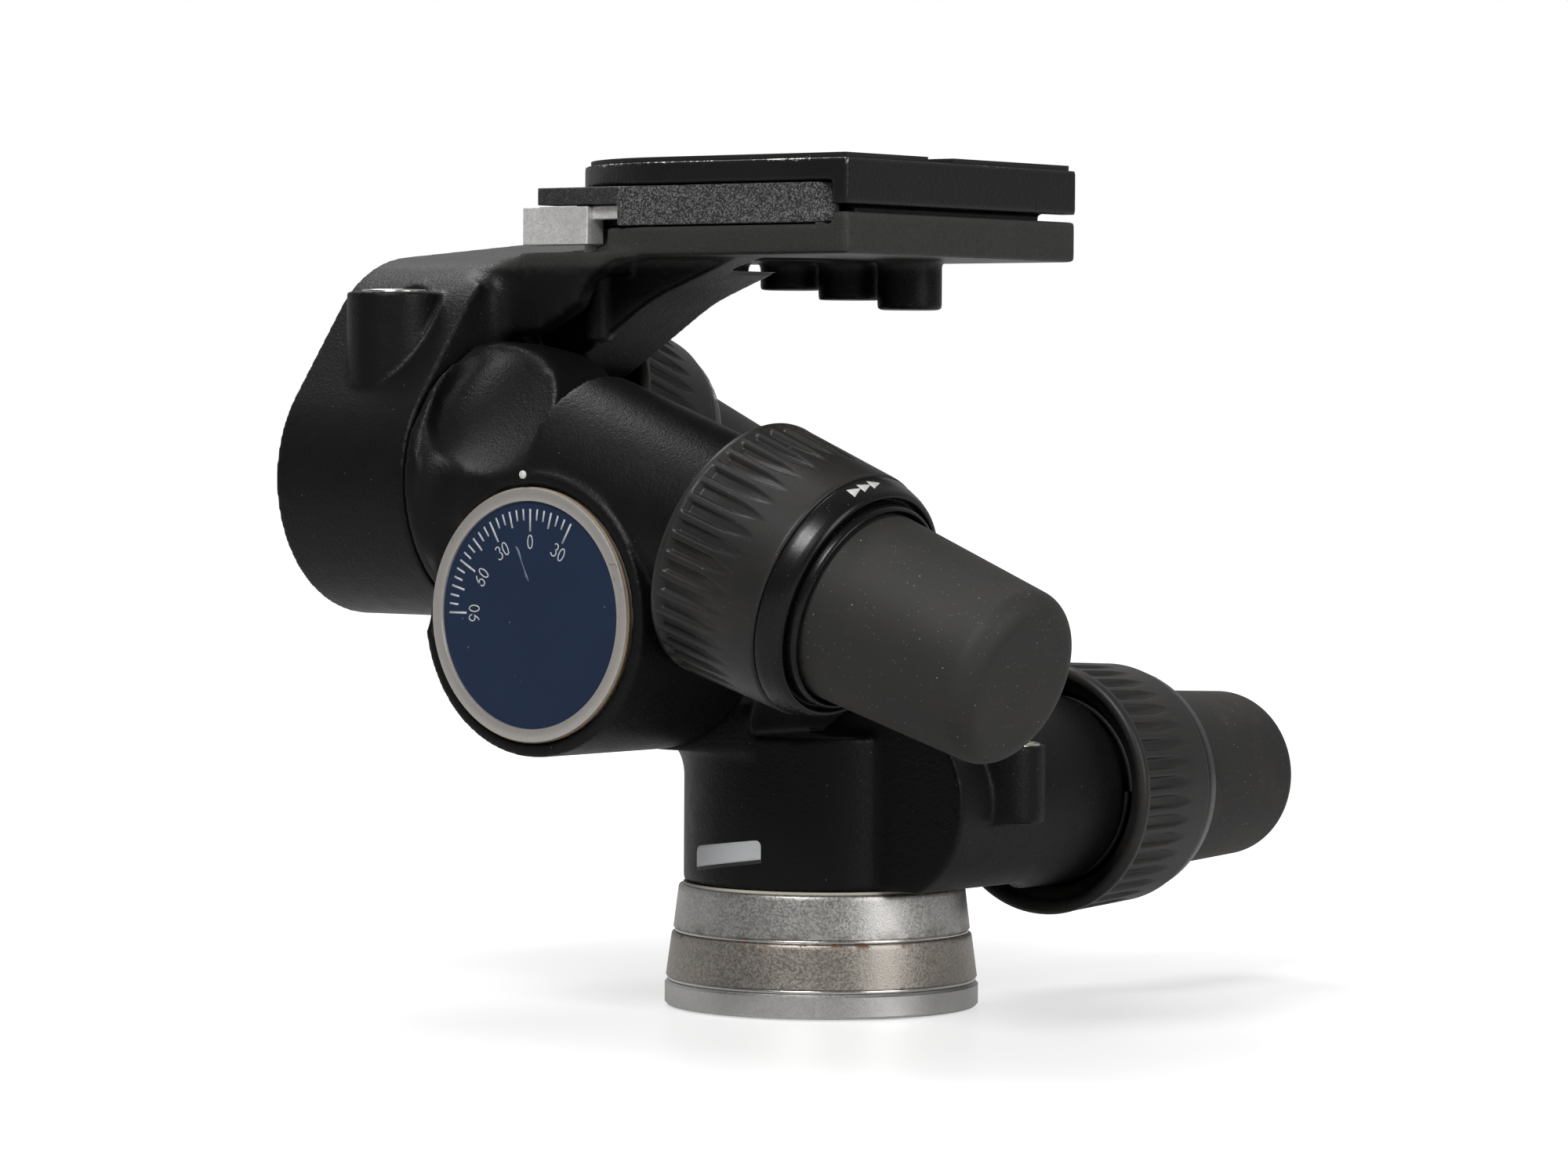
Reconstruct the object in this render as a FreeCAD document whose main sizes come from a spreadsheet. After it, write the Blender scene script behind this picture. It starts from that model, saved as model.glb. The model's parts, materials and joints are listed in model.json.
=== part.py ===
import FreeCAD, Part
import os
import re
import Sketcher

# Geared tripod head: three worm stages (pan, roll, tilt) stacked on a silver foot,
# with a quick release camera plate on top.
# Frame: +Z up, origin on the pan axis in the bottom face of the foot, the roll dial faces -Y.
# Lengths are millimetres and angles are degrees.

doc = FreeCAD.newDocument("geared_head")
sheet = doc.addObject("Spreadsheet::Sheet", "sizes")

SIZES = {
    # foot and its rings
    "foot_radius": 30.0,
    "foot_height": 4.6,
    "edge_break": 0.5,
    "groove_height": 0.8,
    "groove_depth": 0.7,
    "mid_ring_low": 29.8,
    "mid_ring_high": 28.7,
    "mid_ring_top": 13.8,
    "top_ring_low": 28.4,
    "top_ring_high": 27.4,
    "top_ring_top": 23.0,
    "hub_radius": 24.0,
    "thread_radius": 4.7625,
    "thread_depth": 10.0,
    "insert_radius": 7.5,
    # worm gearing, the same in every stage
    "centre_distance": 23.6,
    "worm_pitch_radius": 6.6,
    "tooth_count": 36,
    "tooth_height": 0.7,
    "tooth_root": 1.0,
    "tooth_share": 0.37,
    "thread_share": 0.30,
    "flank_angle": 20.0,
    "wheel_width": 7.0,
    "thread_turns": 5,
    "shaft_radius": 4.0,
    "journal_radius": 3.5,
    "journal_length": 3.4,
    "bush_radius": 8.5,
    "running_fit": 0.05,
    "gear_room": 0.7,
    "bush_room": 1.8,
    "part_gap": 0.3,
    # axles
    "axle_radius": 7.0,
    "axle_shoulder": 2.0,
    "axle_bush_wall": 3.0,
    "flange_thick": 4.0,
    "axle_root": 13.0,
    "wheel_offset": 16.6,
    "screw_radius": 2.0,
    "screw_head_radius": 3.4,
    "screw_head_height": 2.2,
    "screw_length": 9.0,
    # knobs
    "tube_radius": 18.8,
    "tube_overlap": 2.0,
    "neck_radius": 15.5,
    "collar_big": 24.6,
    "collar_small": 22.9,
    "collar_length": 24.4,
    "collar_edge": 1.2,
    "rib_count": 40,
    "rib_groove_width": 2.0,
    "rib_groove_depth": 1.1,
    "rib_start": 1.9,
    "rib_end_margin": 2.2,
    "spring_room_radius": 18.6,
    "spring_room_top": 15.0,
    "spring_wire": 0.6,
    "spring_pitch": 2.2,
    "spring_turns": 4,
    "ring_length": 5.2,
    "ring_front": 22.0,
    "ring_lip": 1.0,
    "ring_step": 0.8,
    "ring_floor": 1.6,
    "grip_base": 18.2,
    "grip_tip": 16.4,
    "grip_end": 67.6,
    "grip_corner": 4.5,
    "grip_wall": 2.4,
    "grip_room": 0.6,
    # pan housing
    "pan_radius": 26.5,
    "pan_top": 52.5,
    "pan_gap": 0.5,
    "washer_inner": 20.0,
    "pan_worm_height": 40.3,
    "pan_rim": 38.6,
    "pan_tail": 13.2,
    "pan_clear": 38.0,
    "pan_bush_height": 6.0,
    "retainer_height": 1.2,
    "retainer_width": 2.5,
    "flare_shift": 7.0,
    "flare_start": 44.5,
    "flare_top": 51.0,
    "pan_level_x": 40.6,
    "pan_level_y": 4.0,
    "pan_level_top": 51.5,
    "pan_level_depth": 15.0,
    # bubble levels
    "level_boss_radius": 7.2,
    "vial_radius": 5.2,
    "vial_depth": 3.4,
    "level_ring_width": 1.0,
    "level_ring_rise": 0.4,
    "spot_face": 8.0,
    # roll axle, bearing block and drum
    "roll_x": -19.3,
    "roll_z": 75.5,
    "seam_y": -27.2,
    "roll_depth": 36.3,
    "roll_drop": 20.0,
    "roll_rim": 27.0,
    "roll_tail": 13.3,
    "drum_radius": 26.3,
    "block_flange": 8.0,
    "block_radius": 20.5,
    "block_back": 16.0,
    "block_left": 16.0,
    "block_right": 22.8,
    "block_wall": 4.5,
    "block_passage": 5.0,
    "block_trim": 11.2,
    "roll_limit": 30.0,
    # dials
    "bezel_radius": 23.5,
    "bezel_width": 2.5,
    "bezel_depth": 3.6,
    "bezel_rise": 1.0,
    "bezel_floor": 1.0,
    "dial_sink": 0.6,
    "bezel_gap": 0.25,
    # tilt axle, mid body and bracket
    "seam_x": -48.6,
    "tilt_y": -39.9,
    "tilt_z": 99.9,
    "tilt_depth": 32.4,
    "tilt_drop": 18.0,
    "tilt_rim": 28.4,
    "barrel_radius": 26.3,
    "barrel_cover": 7.0,
    "socket_wall": 2.0,
    "barrel_crown": 24.0,
    "barrel_flat": 2.1,
    "dimple_width": 30.2,
    "dimple_length": 47.3,
    "dimple_depth": 7.0,
    "dimple_x": -32.4,
    "dimple_sink": 9.0,
    "dimple_z": 117.9,
    "dimple_lean": 41.1,
    "shoulder_corner_y": -41.6,
    "shoulder_corner_z": 141.7,
    "shoulder_round": 26.0,
    "shoulder_back": 8.0,
    "shoulder_top": 146.4,
    "skirt_front": -38.4,
    "skirt_thick": 4.4,
    "skirt_low": 127.6,
    "skirt_round": 4.0,
    "arm_thick": 4.0,
    "web_front": -28.0,
    "web_back": -7.0,
    "web_low": 115.4,
    "web_bend_x": -21.0,
    "web_bend_z": 133.9,
    "web_round": 40.0,
    "rib_radius": 2.6,
    "rib_x": -33.2,
    "under_boss_radius": 6.2,
    "under_boss_drop": 5.4,
    "under_boss_y": 12.5,
    "under_boss_step": 14.2,
    "collar_clear": 0.8,
    "bracket_level_x": -64.5,
    "bracket_level_inset": 15.2,
    "bracket_level_top": 135.6,
    "bracket_boss_radius": 9.0,
    # plate holder
    "holder_bottom": 142.1,
    "holder_height": 7.7,
    "plate_right": 34.0,
    "plate_bend": -10.7,
    "plate_middle": -1.9,
    "plate_half": 36.5,
    "seat_depth": 2.2,
    "seat_room": 0.4,
    "lever_ledge": 2.2,
    "screw_x": -6.0,
    "screw_y": -8.0,
    "key_room": 13.0,
    "key_pocket": 2.4,
    # camera plate
    "plate_gap": 1.4,
    "plate_thick": 8.4,
    "flange_plate_thick": 4.0,
    "boss_left": -36.0,
    "boss_right": 30.6,
    "boss_front": -31.3,
    "boss_back": 27.0,
    "boss_drop": 3.2,
    "pad_thick": 1.0,
    "pad_inset": 1.1,
    "slot_front": -12.0,
    "slot_back": -4.0,
    "camera_thread_radius": 3.175,
    "camera_thread_rise": 0.6,
    "camera_head_radius": 7.0,
    "camera_head_height": 2.8,
    "camera_head_level": 148.6,
    "head_room_radius": 9.5,
    "head_room_top": 158.2,
    "clip_thick": 0.8,
    "clip_width": 2.4,
    "key_wire": 0.9,
    "key_half_width": 6.0,
    "key_lug_width": 3.4,
    "key_lug_drop": 2.2,
    # lock lever and safety catch
    "lever_pivot_x": 26.0,
    "lever_pivot_y": -34.9,
    "lever_half_width": 3.0,
    "lever_height": 7.4,
    "lever_body_left": -20.5,
    "lever_tip_left": -40.0,
    "lever_tip_height": 3.3,
    "lever_gap": 0.3,
    "pivot_radius": 1.6,
    "catch_left": -43.6,
    "catch_right": -27.7,
    "catch_height": 7.2,
    "catch_depth": 5.0,
    "catch_drop": 0.3,
    "catch_travel": 2.5,
    "link_height": 2.6,
    "link_depth": 2.4,
    "link_sink": 6.0,
}

# names worked out from the sizes, used in several places
DERIVED = {
    "wheel_pitch": "(centre_distance - worm_pitch_radius)",
    "worm_pitch": "(2 * 3.14159265 * (centre_distance - worm_pitch_radius) / tooth_count)",
    "wheel_tip": "(centre_distance - worm_pitch_radius + tooth_height)",
    "wheel_cavity": "(centre_distance - worm_pitch_radius + tooth_height + gear_room)",
    "thread_end": "(2 * 3.14159265 * (centre_distance - worm_pitch_radius) / tooth_count"
                  " * thread_turns / 2 + 0.6)",
    "housing_floor": "(top_ring_top + pan_gap)",
    "axle_top": "(pan_worm_height + wheel_width / 2 + gear_room + pan_bush_height)",
    "ring_end": "(collar_length + ring_length)",
    "grip_start": "(collar_length + ring_floor + grip_room)",
    "core_end": "(grip_end - grip_wall - 4)",
    "neck_end": "(collar_length - part_gap)",
    "holder_top": "(holder_bottom + holder_height)",
    "plate_bottom": "(holder_bottom + holder_height + plate_gap)",
    "plate_top": "(holder_bottom + holder_height + plate_gap + plate_thick)",
    "lever_bottom": "(holder_bottom + holder_height - lever_ledge + lever_gap)",
    "lever_top": "(holder_bottom + holder_height - lever_ledge + lever_gap + lever_height)",
    "catch_low": "(holder_bottom + holder_height - lever_ledge + lever_gap + lever_height"
                 " - lever_tip_height - catch_drop - catch_height)",
    "screw_ring_radius": "(axle_radius + axle_shoulder + screw_head_radius + part_gap)",
    "flange_radius": "(axle_radius + axle_shoulder + 2 * screw_head_radius + part_gap + edge_break)",
    "crown_x": "(seam_x + barrel_flat)",
    "bracket_level_y": "(tilt_y - barrel_radius + bracket_level_inset)",
    "axle_fit": "(axle_radius + running_fit)",
    "axle_bush": "(axle_radius + axle_bush_wall)",
}

UP = "rotation(vector(0; 0; 1); 0)"
ALONG_X = "rotation(vector(0; 1; 0); 90)"
ALONG_Y = "rotation(vector(1; 0; 0); -90)"
TOWARDS_FRONT = "rotation(vector(1; 0; 0); 90)"
TOWARDS_LEFT = "rotation(vector(0; 1; 0); -90)"

WORD = re.compile(r"\b[a-z][a-z_]+\b")
pieces = []


def fill_sheet():
    """Write every driving dimension into the spreadsheet, one row each."""
    for row, (alias, value) in enumerate(SIZES.items(), start=1):
        sheet.set("A%d" % row, alias.replace("_", " "))
        sheet.set("B%d" % row, str(value))
        sheet.setAlias("B%d" % row, alias)
    doc.recompute()


def fx(text):
    """Turn plain size names in an expression into references to the sheet."""
    def swap(match):
        word = match.group(0)
        if word in DERIVED:
            return fx(DERIVED[word])
        return "sizes." + word if word in SIZES else word
    return WORD.sub(swap, text)


def number(text):
    """The present value of an expression."""
    value = sheet.evalExpression(fx(text))
    return float(getattr(value, "Value", value))


def bind(item, **expressions):
    for name, text in expressions.items():
        item.setExpression(name, fx(text))
    return item


def place(item, spot, turn=UP):
    """Bind an object's Placement: spot is three expressions, turn is a rotation."""
    x, y, z = spot
    item.setExpression("Placement", fx("placement(vector(%s; %s; %s); %s)" % (x, y, z, turn)))
    return item


ORIGIN = ("0", "0", "0")


# ---------------------------------------------------------------- building blocks

def cylinder(name, radius, length, spot=ORIGIN, turn=UP):
    item = doc.addObject("Part::Cylinder", name)
    bind(item, Radius=radius, Height=length)
    return place(item, spot, turn)


def box(name, low, high):
    """A box between two corners, each given as three expressions."""
    item = doc.addObject("Part::Box", name)
    bind(item, Length="(%s) - (%s)" % (high[0], low[0]))
    bind(item, Width="(%s) - (%s)" % (high[1], low[1]))
    bind(item, Height="(%s) - (%s)" % (high[2], low[2]))
    return place(item, low)


def fuse(name, *items):
    item = doc.addObject("Part::MultiFuse", name)
    item.Shapes = list(items)
    item.Refine = True
    return item


def cut(name, base, *tools):
    item = doc.addObject("Part::Cut", name)
    item.Base = base
    item.Tool = tools[0] if len(tools) == 1 else fuse(name + "_tools", *tools)
    item.Refine = True
    return item


def common(name, base, tool):
    item = doc.addObject("Part::Common", name)
    item.Base = base
    item.Tool = tool
    return item


def own_plane(body, role):
    return [part for part in body.Origin.OriginFeatures if part.Role == role][0]


def draw_outline(sketch, points):
    """A closed outline of straight lines, each corner bound to its two expressions."""
    corners = [FreeCAD.Vector(number(x), number(y), 0) for x, y in points]
    count = len(corners)
    for index in range(count):
        sketch.addGeometry(Part.LineSegment(corners[index], corners[(index + 1) % count]), False)
    for index in range(count):
        sketch.addConstraint(Sketcher.Constraint("Coincident", index, 2, (index + 1) % count, 1))
    for index, (x, y) in enumerate(points):
        for kind, text, value in (("DistanceX", x, corners[index].x), ("DistanceY", y, corners[index].y)):
            row = sketch.addConstraint(Sketcher.Constraint(kind, -1, 1, index, 1, value))
            sketch.setExpression("Constraints[%d]" % row, fx(text))


def sketch_in(body, name, role):
    sketch = body.newObject("Sketcher::SketchObject", name)
    sketch.AttachmentSupport = (own_plane(body, role), "")
    sketch.MapMode = "FlatFace"
    return sketch


def turned(name, points):
    """A body turned about its own Z axis from an outline of (radius, height) pairs."""
    body = doc.addObject("PartDesign::Body", name)
    sketch = sketch_in(body, name + "_outline", "XZ_Plane")
    draw_outline(sketch, points)
    turning = body.newObject("PartDesign::Revolution", name + "_turning")
    turning.Profile = sketch
    turning.ReferenceAxis = (sketch, ["V_Axis"])
    turning.Angle = 360
    return body


def padded(name, points, length, role="XY_Plane"):
    """A body padded from an outline on one of its origin planes."""
    body = doc.addObject("PartDesign::Body", name)
    sketch = sketch_in(body, name + "_outline", role)
    draw_outline(sketch, points)
    pad = body.newObject("PartDesign::Pad", name + "_pad")
    pad.Profile = sketch
    bind(pad, Length=length)
    return body


def round_rims(body, radius, test):
    """Round the edges of a body's tip that pass the test."""
    doc.recompute()
    base = body.Tip
    edges = ["Edge%d" % (index + 1) for index, edge in enumerate(base.Shape.Edges) if test(edge)]
    rounding = body.newObject("PartDesign::Fillet", body.Name + "_round")
    rounding.Base = (base, edges)
    bind(rounding, Radius=radius)
    return body


def around(name, radius, length, ring_radius, count, level):
    """Equal cylinders standing on a ring about the Z axis."""
    rods = []
    for index in range(count):
        angle = "(%d * 360 / %d)" % (index, count)
        spot = ("%s * cos(%s * 1deg)" % (ring_radius, angle), "%s * sin(%s * 1deg)" % (ring_radius, angle), level)
        rods.append(cylinder("%s_%d" % (name, index), radius, length, spot))
    return fuse(name, *rods)


def piece(node, item, spot=None, turn=UP):
    """Register an object as a sub-part under its node name."""
    if spot is not None:
        place(item, spot, turn)
    item.Label = node
    pieces.append(item)
    return item


# ---------------------------------------------------------------- stage frames

class Stage:
    """One worm stage: where its wheel and its worm sit, and which way they point."""

    def __init__(self, name, wheel_spot, wheel_turn, worm_spot, knob_way, worm_turn, rim, tail):
        self.name = name
        self.wheel_spot = wheel_spot
        self.wheel_turn = wheel_turn
        self.worm_spot = worm_spot
        self.worm_turn = worm_turn
        self.knob_way = knob_way
        self.rim = rim
        self.tail = tail

    def along(self, distance):
        """The point on the worm axis at a distance towards the knob."""
        return tuple("(%s) + (%s) * (%s)" % (start, distance, way)
                     for start, way in zip(self.worm_spot, self.knob_way))


ROLL_COS = "cos(roll_drop * 1deg)"
ROLL_SIN = "sin(roll_drop * 1deg)"
TILT_COS = "cos(tilt_drop * 1deg)"
TILT_SIN = "sin(tilt_drop * 1deg)"
ROLL_WORM_Y = "seam_y - wheel_offset"
TILT_WORM_X = "seam_x - wheel_offset"

PAN = Stage(
    "pan",
    ("0", "0", "pan_worm_height"),
    UP,
    ("centre_distance", "0", "pan_worm_height"),
    ("0", "1", "0"),
    ALONG_Y,
    "pan_rim",
    "pan_tail",
)
ROLL = Stage(
    "roll",
    ("roll_x", ROLL_WORM_Y, "roll_z"),
    "rotation(vector(0; 1; 0); roll_drop) * rotation(vector(1; 1; 1); -120)",
    ("roll_x + centre_distance * " + ROLL_SIN, ROLL_WORM_Y, "roll_z + centre_distance * " + ROLL_COS),
    (ROLL_COS, "0", "-" + ROLL_SIN),
    "rotation(vector(0; 1; 0); roll_drop) * rotation(vector(1; 0; 1); 180)",
    "roll_rim",
    "roll_tail",
)
TILT = Stage(
    "tilt",
    (TILT_WORM_X, "tilt_y", "tilt_z"),
    "rotation(vector(1; 0; 0); -tilt_drop) * rotation(vector(0; 1; 0); -90)",
    (TILT_WORM_X, "tilt_y + centre_distance * " + TILT_SIN, "tilt_z + centre_distance * " + TILT_COS),
    ("0", TILT_COS, "-" + TILT_SIN),
    "rotation(vector(1; 0; 0); -tilt_drop) * rotation(vector(1; 1; 1); -120)",
    "tilt_rim",
    None,
)

# the roll and tilt axles run out of a seam plane towards their dial
ROLL_SEAM = ("roll_x", "seam_y", "roll_z")
TILT_SEAM = ("seam_x", "tilt_y", "tilt_z")


# ---------------------------------------------------------------- foot

def foot():
    body = turned("foot_body", [
        ("insert_radius", "0"),
        ("foot_radius - edge_break", "0"),
        ("foot_radius", "edge_break"),
        ("foot_radius", "foot_height - edge_break"),
        ("foot_radius - edge_break", "foot_height"),
        ("hub_radius", "foot_height"),
        ("hub_radius", "mid_ring_top"),
        ("flange_radius", "mid_ring_top"),
        ("flange_radius", "mid_ring_top - flange_thick / 2 - 1"),
        ("insert_radius", "mid_ring_top - flange_thick / 2 - 1"),
    ])
    holes = around("foot_holes", "screw_radius", "mid_ring_top", "screw_ring_radius", 3, "0")
    heads = around("foot_head_holes", "screw_head_radius", "screw_head_height", "screw_ring_radius", 3, "0")
    piece("base_foot", cut("foot_drilled", body, holes, heads))


def foot_rings():
    piece("base_mid_ring", turned("mid_ring_body", [
        ("hub_radius", "foot_height"),
        ("mid_ring_low - groove_depth", "foot_height"),
        ("mid_ring_low - groove_depth", "foot_height + groove_height"),
        ("mid_ring_low", "foot_height + groove_height"),
        ("mid_ring_high", "mid_ring_top"),
        ("hub_radius", "mid_ring_top"),
    ]))
    piece("base_top_ring", turned("top_ring_body", [
        ("axle_radius + axle_shoulder", "mid_ring_top"),
        ("top_ring_low - groove_depth", "mid_ring_top"),
        ("top_ring_low - groove_depth", "mid_ring_top + groove_height"),
        ("top_ring_low", "mid_ring_top + groove_height"),
        ("top_ring_high", "top_ring_top - edge_break"),
        ("top_ring_high - edge_break", "top_ring_top"),
        ("axle_radius + axle_shoulder", "top_ring_top"),
    ]))


def thread_insert():
    piece("tripod_insert", turned("insert_body", [
        ("thread_radius", "0"),
        ("insert_radius", "0"),
        ("insert_radius", "mid_ring_top - flange_thick / 2 - 1"),
        ("0", "mid_ring_top - flange_thick / 2 - 1"),
        ("0", "thread_depth"),
        ("thread_radius", "thread_depth"),
    ]))


def pan_axle():
    low = "mid_ring_top - flange_thick / 2 - 1"
    shoulder_top = "pan_worm_height - wheel_width / 2"
    body = turned("pan_axle_body", [
        ("0", low),
        ("flange_radius", low),
        ("flange_radius", "mid_ring_top"),
        ("axle_radius + axle_shoulder", "mid_ring_top"),
        ("axle_radius + axle_shoulder", shoulder_top),
        ("axle_radius", shoulder_top),
        ("axle_radius", "axle_top + part_gap + retainer_height"),
        ("0", "axle_top + part_gap + retainer_height"),
    ])
    holes = around("pan_axle_holes", "screw_radius", "mid_ring_top", "screw_ring_radius", 3, "0")
    piece("pan_axle", cut("pan_axle_drilled", body, holes))
    screws = around("foot_shanks", "screw_radius", "mid_ring_top - screw_head_height",
                    "screw_ring_radius", 3, "screw_head_height")
    heads = around("foot_heads", "screw_head_radius", "screw_head_height", "screw_ring_radius", 3, "0")
    piece("base_screws", fuse("foot_screws", screws, heads))


def pan_bearings():
    piece("pan_thrust_washer", turned("washer_body", [
        ("washer_inner", "top_ring_top"),
        ("top_ring_high - edge_break - 0.4", "top_ring_top"),
        ("top_ring_high - edge_break - 0.4", "housing_floor - running_fit"),
        ("washer_inner", "housing_floor - running_fit"),
    ]))
    low = "pan_worm_height + wheel_width / 2 + gear_room"
    piece("pan_bush", turned("pan_bush_body", [
        ("axle_fit", low),
        ("axle_bush", low),
        ("axle_bush", "axle_top"),
        ("axle_fit", "axle_top"),
    ]))
    piece("pan_retainer", turned("retainer_body", [
        ("axle_radius", "axle_top + part_gap"),
        ("axle_radius + retainer_width", "axle_top + part_gap"),
        ("axle_radius + retainer_width", "axle_top + part_gap + retainer_height"),
        ("axle_radius", "axle_top + part_gap + retainer_height"),
    ]))


# ---------------------------------------------------------------- worm gearing

def worm_wheel(stage):
    """A straight-toothed wheel with one gap facing the worm."""
    name = stage.name + "_wheel"
    half = "wheel_width / 2"
    body = turned(name + "_body", [
        ("axle_radius", "-" + half),
        ("wheel_tip - edge_break", "-" + half),
        ("wheel_tip", "edge_break - " + half),
        ("wheel_tip", half + " - edge_break"),
        ("wheel_tip - edge_break", half),
        ("axle_radius", half),
    ])
    gap = "worm_pitch * (1 - tooth_share) / 2"
    flank = "tan(flank_angle * 1deg)"
    root_width = "(%s - tooth_root * %s)" % (gap, flank)
    tip_width = "(%s + (tooth_height + 1) * %s)" % (gap, flank)
    sketch = sketch_in(body, name + "_gap", "XY_Plane")
    draw_outline(sketch, [
        ("wheel_pitch - tooth_root", "-" + root_width),
        ("wheel_tip + 1", "-" + tip_width),
        ("wheel_tip + 1", tip_width),
        ("wheel_pitch - tooth_root", root_width),
    ])
    pocket = body.newObject("PartDesign::Pocket", name + "_pocket")
    pocket.Profile = sketch
    pocket.Type = "ThroughAll"
    pocket.Midplane = True
    teeth = body.newObject("PartDesign::PolarPattern", name + "_teeth")
    teeth.Originals = [pocket]
    teeth.Axis = (own_plane(body, "Z_Axis"), [""])
    teeth.Angle = 360
    bind(teeth, Occurrences="tooth_count")
    body.Tip = teeth
    piece(name, body, stage.wheel_spot, stage.wheel_turn)


def worm_shaft(stage):
    """A single-start right-hand worm with its journal and the shaft out to the knob."""
    name = stage.name + "_worm"
    root = "worm_pitch_radius - tooth_root"
    shaft = turned(name + "_spindle", [
        ("0", "-thread_end - journal_length"),
        ("journal_radius", "-thread_end - journal_length"),
        ("journal_radius", "-thread_end"),
        (root, "-thread_end"),
        (root, "thread_end"),
        ("shaft_radius", "thread_end"),
        ("shaft_radius", stage.rim + " + grip_start + 24"),
        ("0", stage.rim + " + grip_start + 24"),
    ])
    helix = doc.addObject("Part::Helix", name + "_helix")
    bind(helix, Pitch="worm_pitch", Height="worm_pitch * thread_turns", Radius=root)
    profile = doc.addObject("Sketcher::SketchObject", name + "_profile")
    profile.Placement = FreeCAD.Placement(FreeCAD.Vector(), FreeCAD.Rotation(FreeCAD.Vector(1, 0, 0), 90))
    half = "worm_pitch * thread_share / 2"
    flank = "tan(flank_angle * 1deg)"
    root_half = "(%s + (tooth_root + 0.3) * %s)" % (half, flank)
    tip_half = "(%s - tooth_height * %s)" % (half, flank)
    draw_outline(profile, [
        (root + " - 0.3", "-" + root_half),
        ("worm_pitch_radius + tooth_height", "-" + tip_half),
        ("worm_pitch_radius + tooth_height", tip_half),
        (root + " - 0.3", root_half),
    ])
    thread = doc.addObject("Part::Sweep", name + "_thread")
    thread.Sections = [profile]
    thread.Spine = (helix, ["Edge1"])
    thread.Solid = True
    thread.Frenet = True
    place(thread, ("0", "0", "-worm_pitch * thread_turns / 2"))
    piece(stage.name + "_worm_shaft", fuse(name + "_whole", shaft, thread), stage.worm_spot, stage.worm_turn)


def worm_bush(stage):
    piece(stage.name + "_worm_bush", turned(stage.name + "_worm_bush_body", [
        ("shaft_radius + running_fit", "thread_end + bush_room"),
        ("bush_radius", "thread_end + bush_room"),
        ("bush_radius", stage.rim + " + neck_end"),
        ("shaft_radius + running_fit", stage.rim + " + neck_end"),
    ]), stage.worm_spot, stage.worm_turn)


def tube_solids(stage):
    """The cast tube round a worm, flat or round behind, and the neck its release collar turns on."""
    name = stage.name + "_tube"
    if stage.tail:
        tube = cylinder(name, "tube_radius", "%s + tube_overlap + %s" % (stage.rim, stage.tail),
                        stage.along("-" + stage.tail), stage.worm_turn)
    else:
        straight = cylinder(name + "_straight", "tube_radius", "%s + tube_overlap" % stage.rim,
                            stage.worm_spot, stage.worm_turn)
        ball = doc.addObject("Part::Sphere", name + "_ball")
        bind(ball, Radius="tube_radius")
        place(ball, stage.worm_spot, stage.worm_turn)
        tube = fuse(name, straight, ball)
    neck = cylinder(name + "_neck", "neck_radius", "neck_end - tube_overlap + 1",
                    stage.along(stage.rim + " + tube_overlap - 1"), stage.worm_turn)
    return tube, neck


def collar_room(stage):
    """The space a release collar turns in, kept clear of the casting around it."""
    return cylinder(stage.name + "_collar_room", "collar_big + collar_clear", "collar_length + ring_length + 40",
                    stage.along(stage.rim + " - collar_clear"), stage.worm_turn)


def worm_bores(stage):
    """The worm chamber, open at the knob end, and the blind journal bore behind it."""
    name = stage.name + "_bore"
    start = "-thread_end - gear_room"
    chamber = cylinder(name, "bush_radius", "thread_end + gear_room + %s + collar_length" % stage.rim,
                       stage.along(start), stage.worm_turn)
    journal = cylinder(name + "_journal", "journal_radius + running_fit", "journal_length + gear_room",
                       stage.along("-thread_end - journal_length - part_gap"), stage.worm_turn)
    return chamber, journal


# ---------------------------------------------------------------- knobs

def release_collar(stage):
    name = stage.name + "_collar"
    body = turned(name + "_body", [
        ("tube_radius + 0.4", "0"),
        ("collar_big - collar_edge", "0"),
        ("collar_big", "collar_edge"),
        ("collar_small", "collar_length"),
        ("neck_radius + running_fit", "collar_length"),
        ("neck_radius + running_fit", "spring_room_top"),
        ("spring_room_radius", "spring_room_top"),
        ("spring_room_radius", "tube_overlap + 0.6"),
        ("tube_radius + 0.4", "tube_overlap + 0.6"),
    ])
    sketch = sketch_in(body, name + "_rib_outline", "XZ_Plane")
    draw_outline(sketch, [
        ("collar_big - rib_groove_depth", "rib_start"),
        ("collar_big + 2", "rib_start"),
        ("collar_big + 2", "collar_length - rib_end_margin"),
        ("collar_small + 0.1", "collar_length - rib_end_margin"),
    ])
    groove = body.newObject("PartDesign::Pocket", name + "_rib_groove")
    groove.Profile = sketch
    groove.Midplane = True
    bind(groove, Length="rib_groove_width")
    ribs = body.newObject("PartDesign::PolarPattern", name + "_ribs")
    ribs.Originals = [groove]
    ribs.Axis = (own_plane(body, "Z_Axis"), [""])
    ribs.Angle = 360
    bind(ribs, Occurrences="rib_count")
    body.Tip = ribs
    piece(name, body, stage.along(stage.rim), stage.worm_turn)


def collar_ring(stage):
    name = stage.name + "_collar_ring"
    piece(name, turned(name + "_body", [
        ("shaft_radius + 2", "collar_length"),
        ("collar_small", "collar_length"),
        ("ring_front", "ring_end"),
        ("ring_front - ring_lip", "ring_end"),
        ("ring_front - ring_lip - ring_step", "ring_end - ring_step"),
        ("grip_base + grip_room", "ring_end - ring_step"),
        ("grip_base + grip_room", "collar_length + ring_floor"),
        ("shaft_radius + 2", "collar_length + ring_floor"),
    ]), stage.along(stage.rim), stage.worm_turn)


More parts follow.
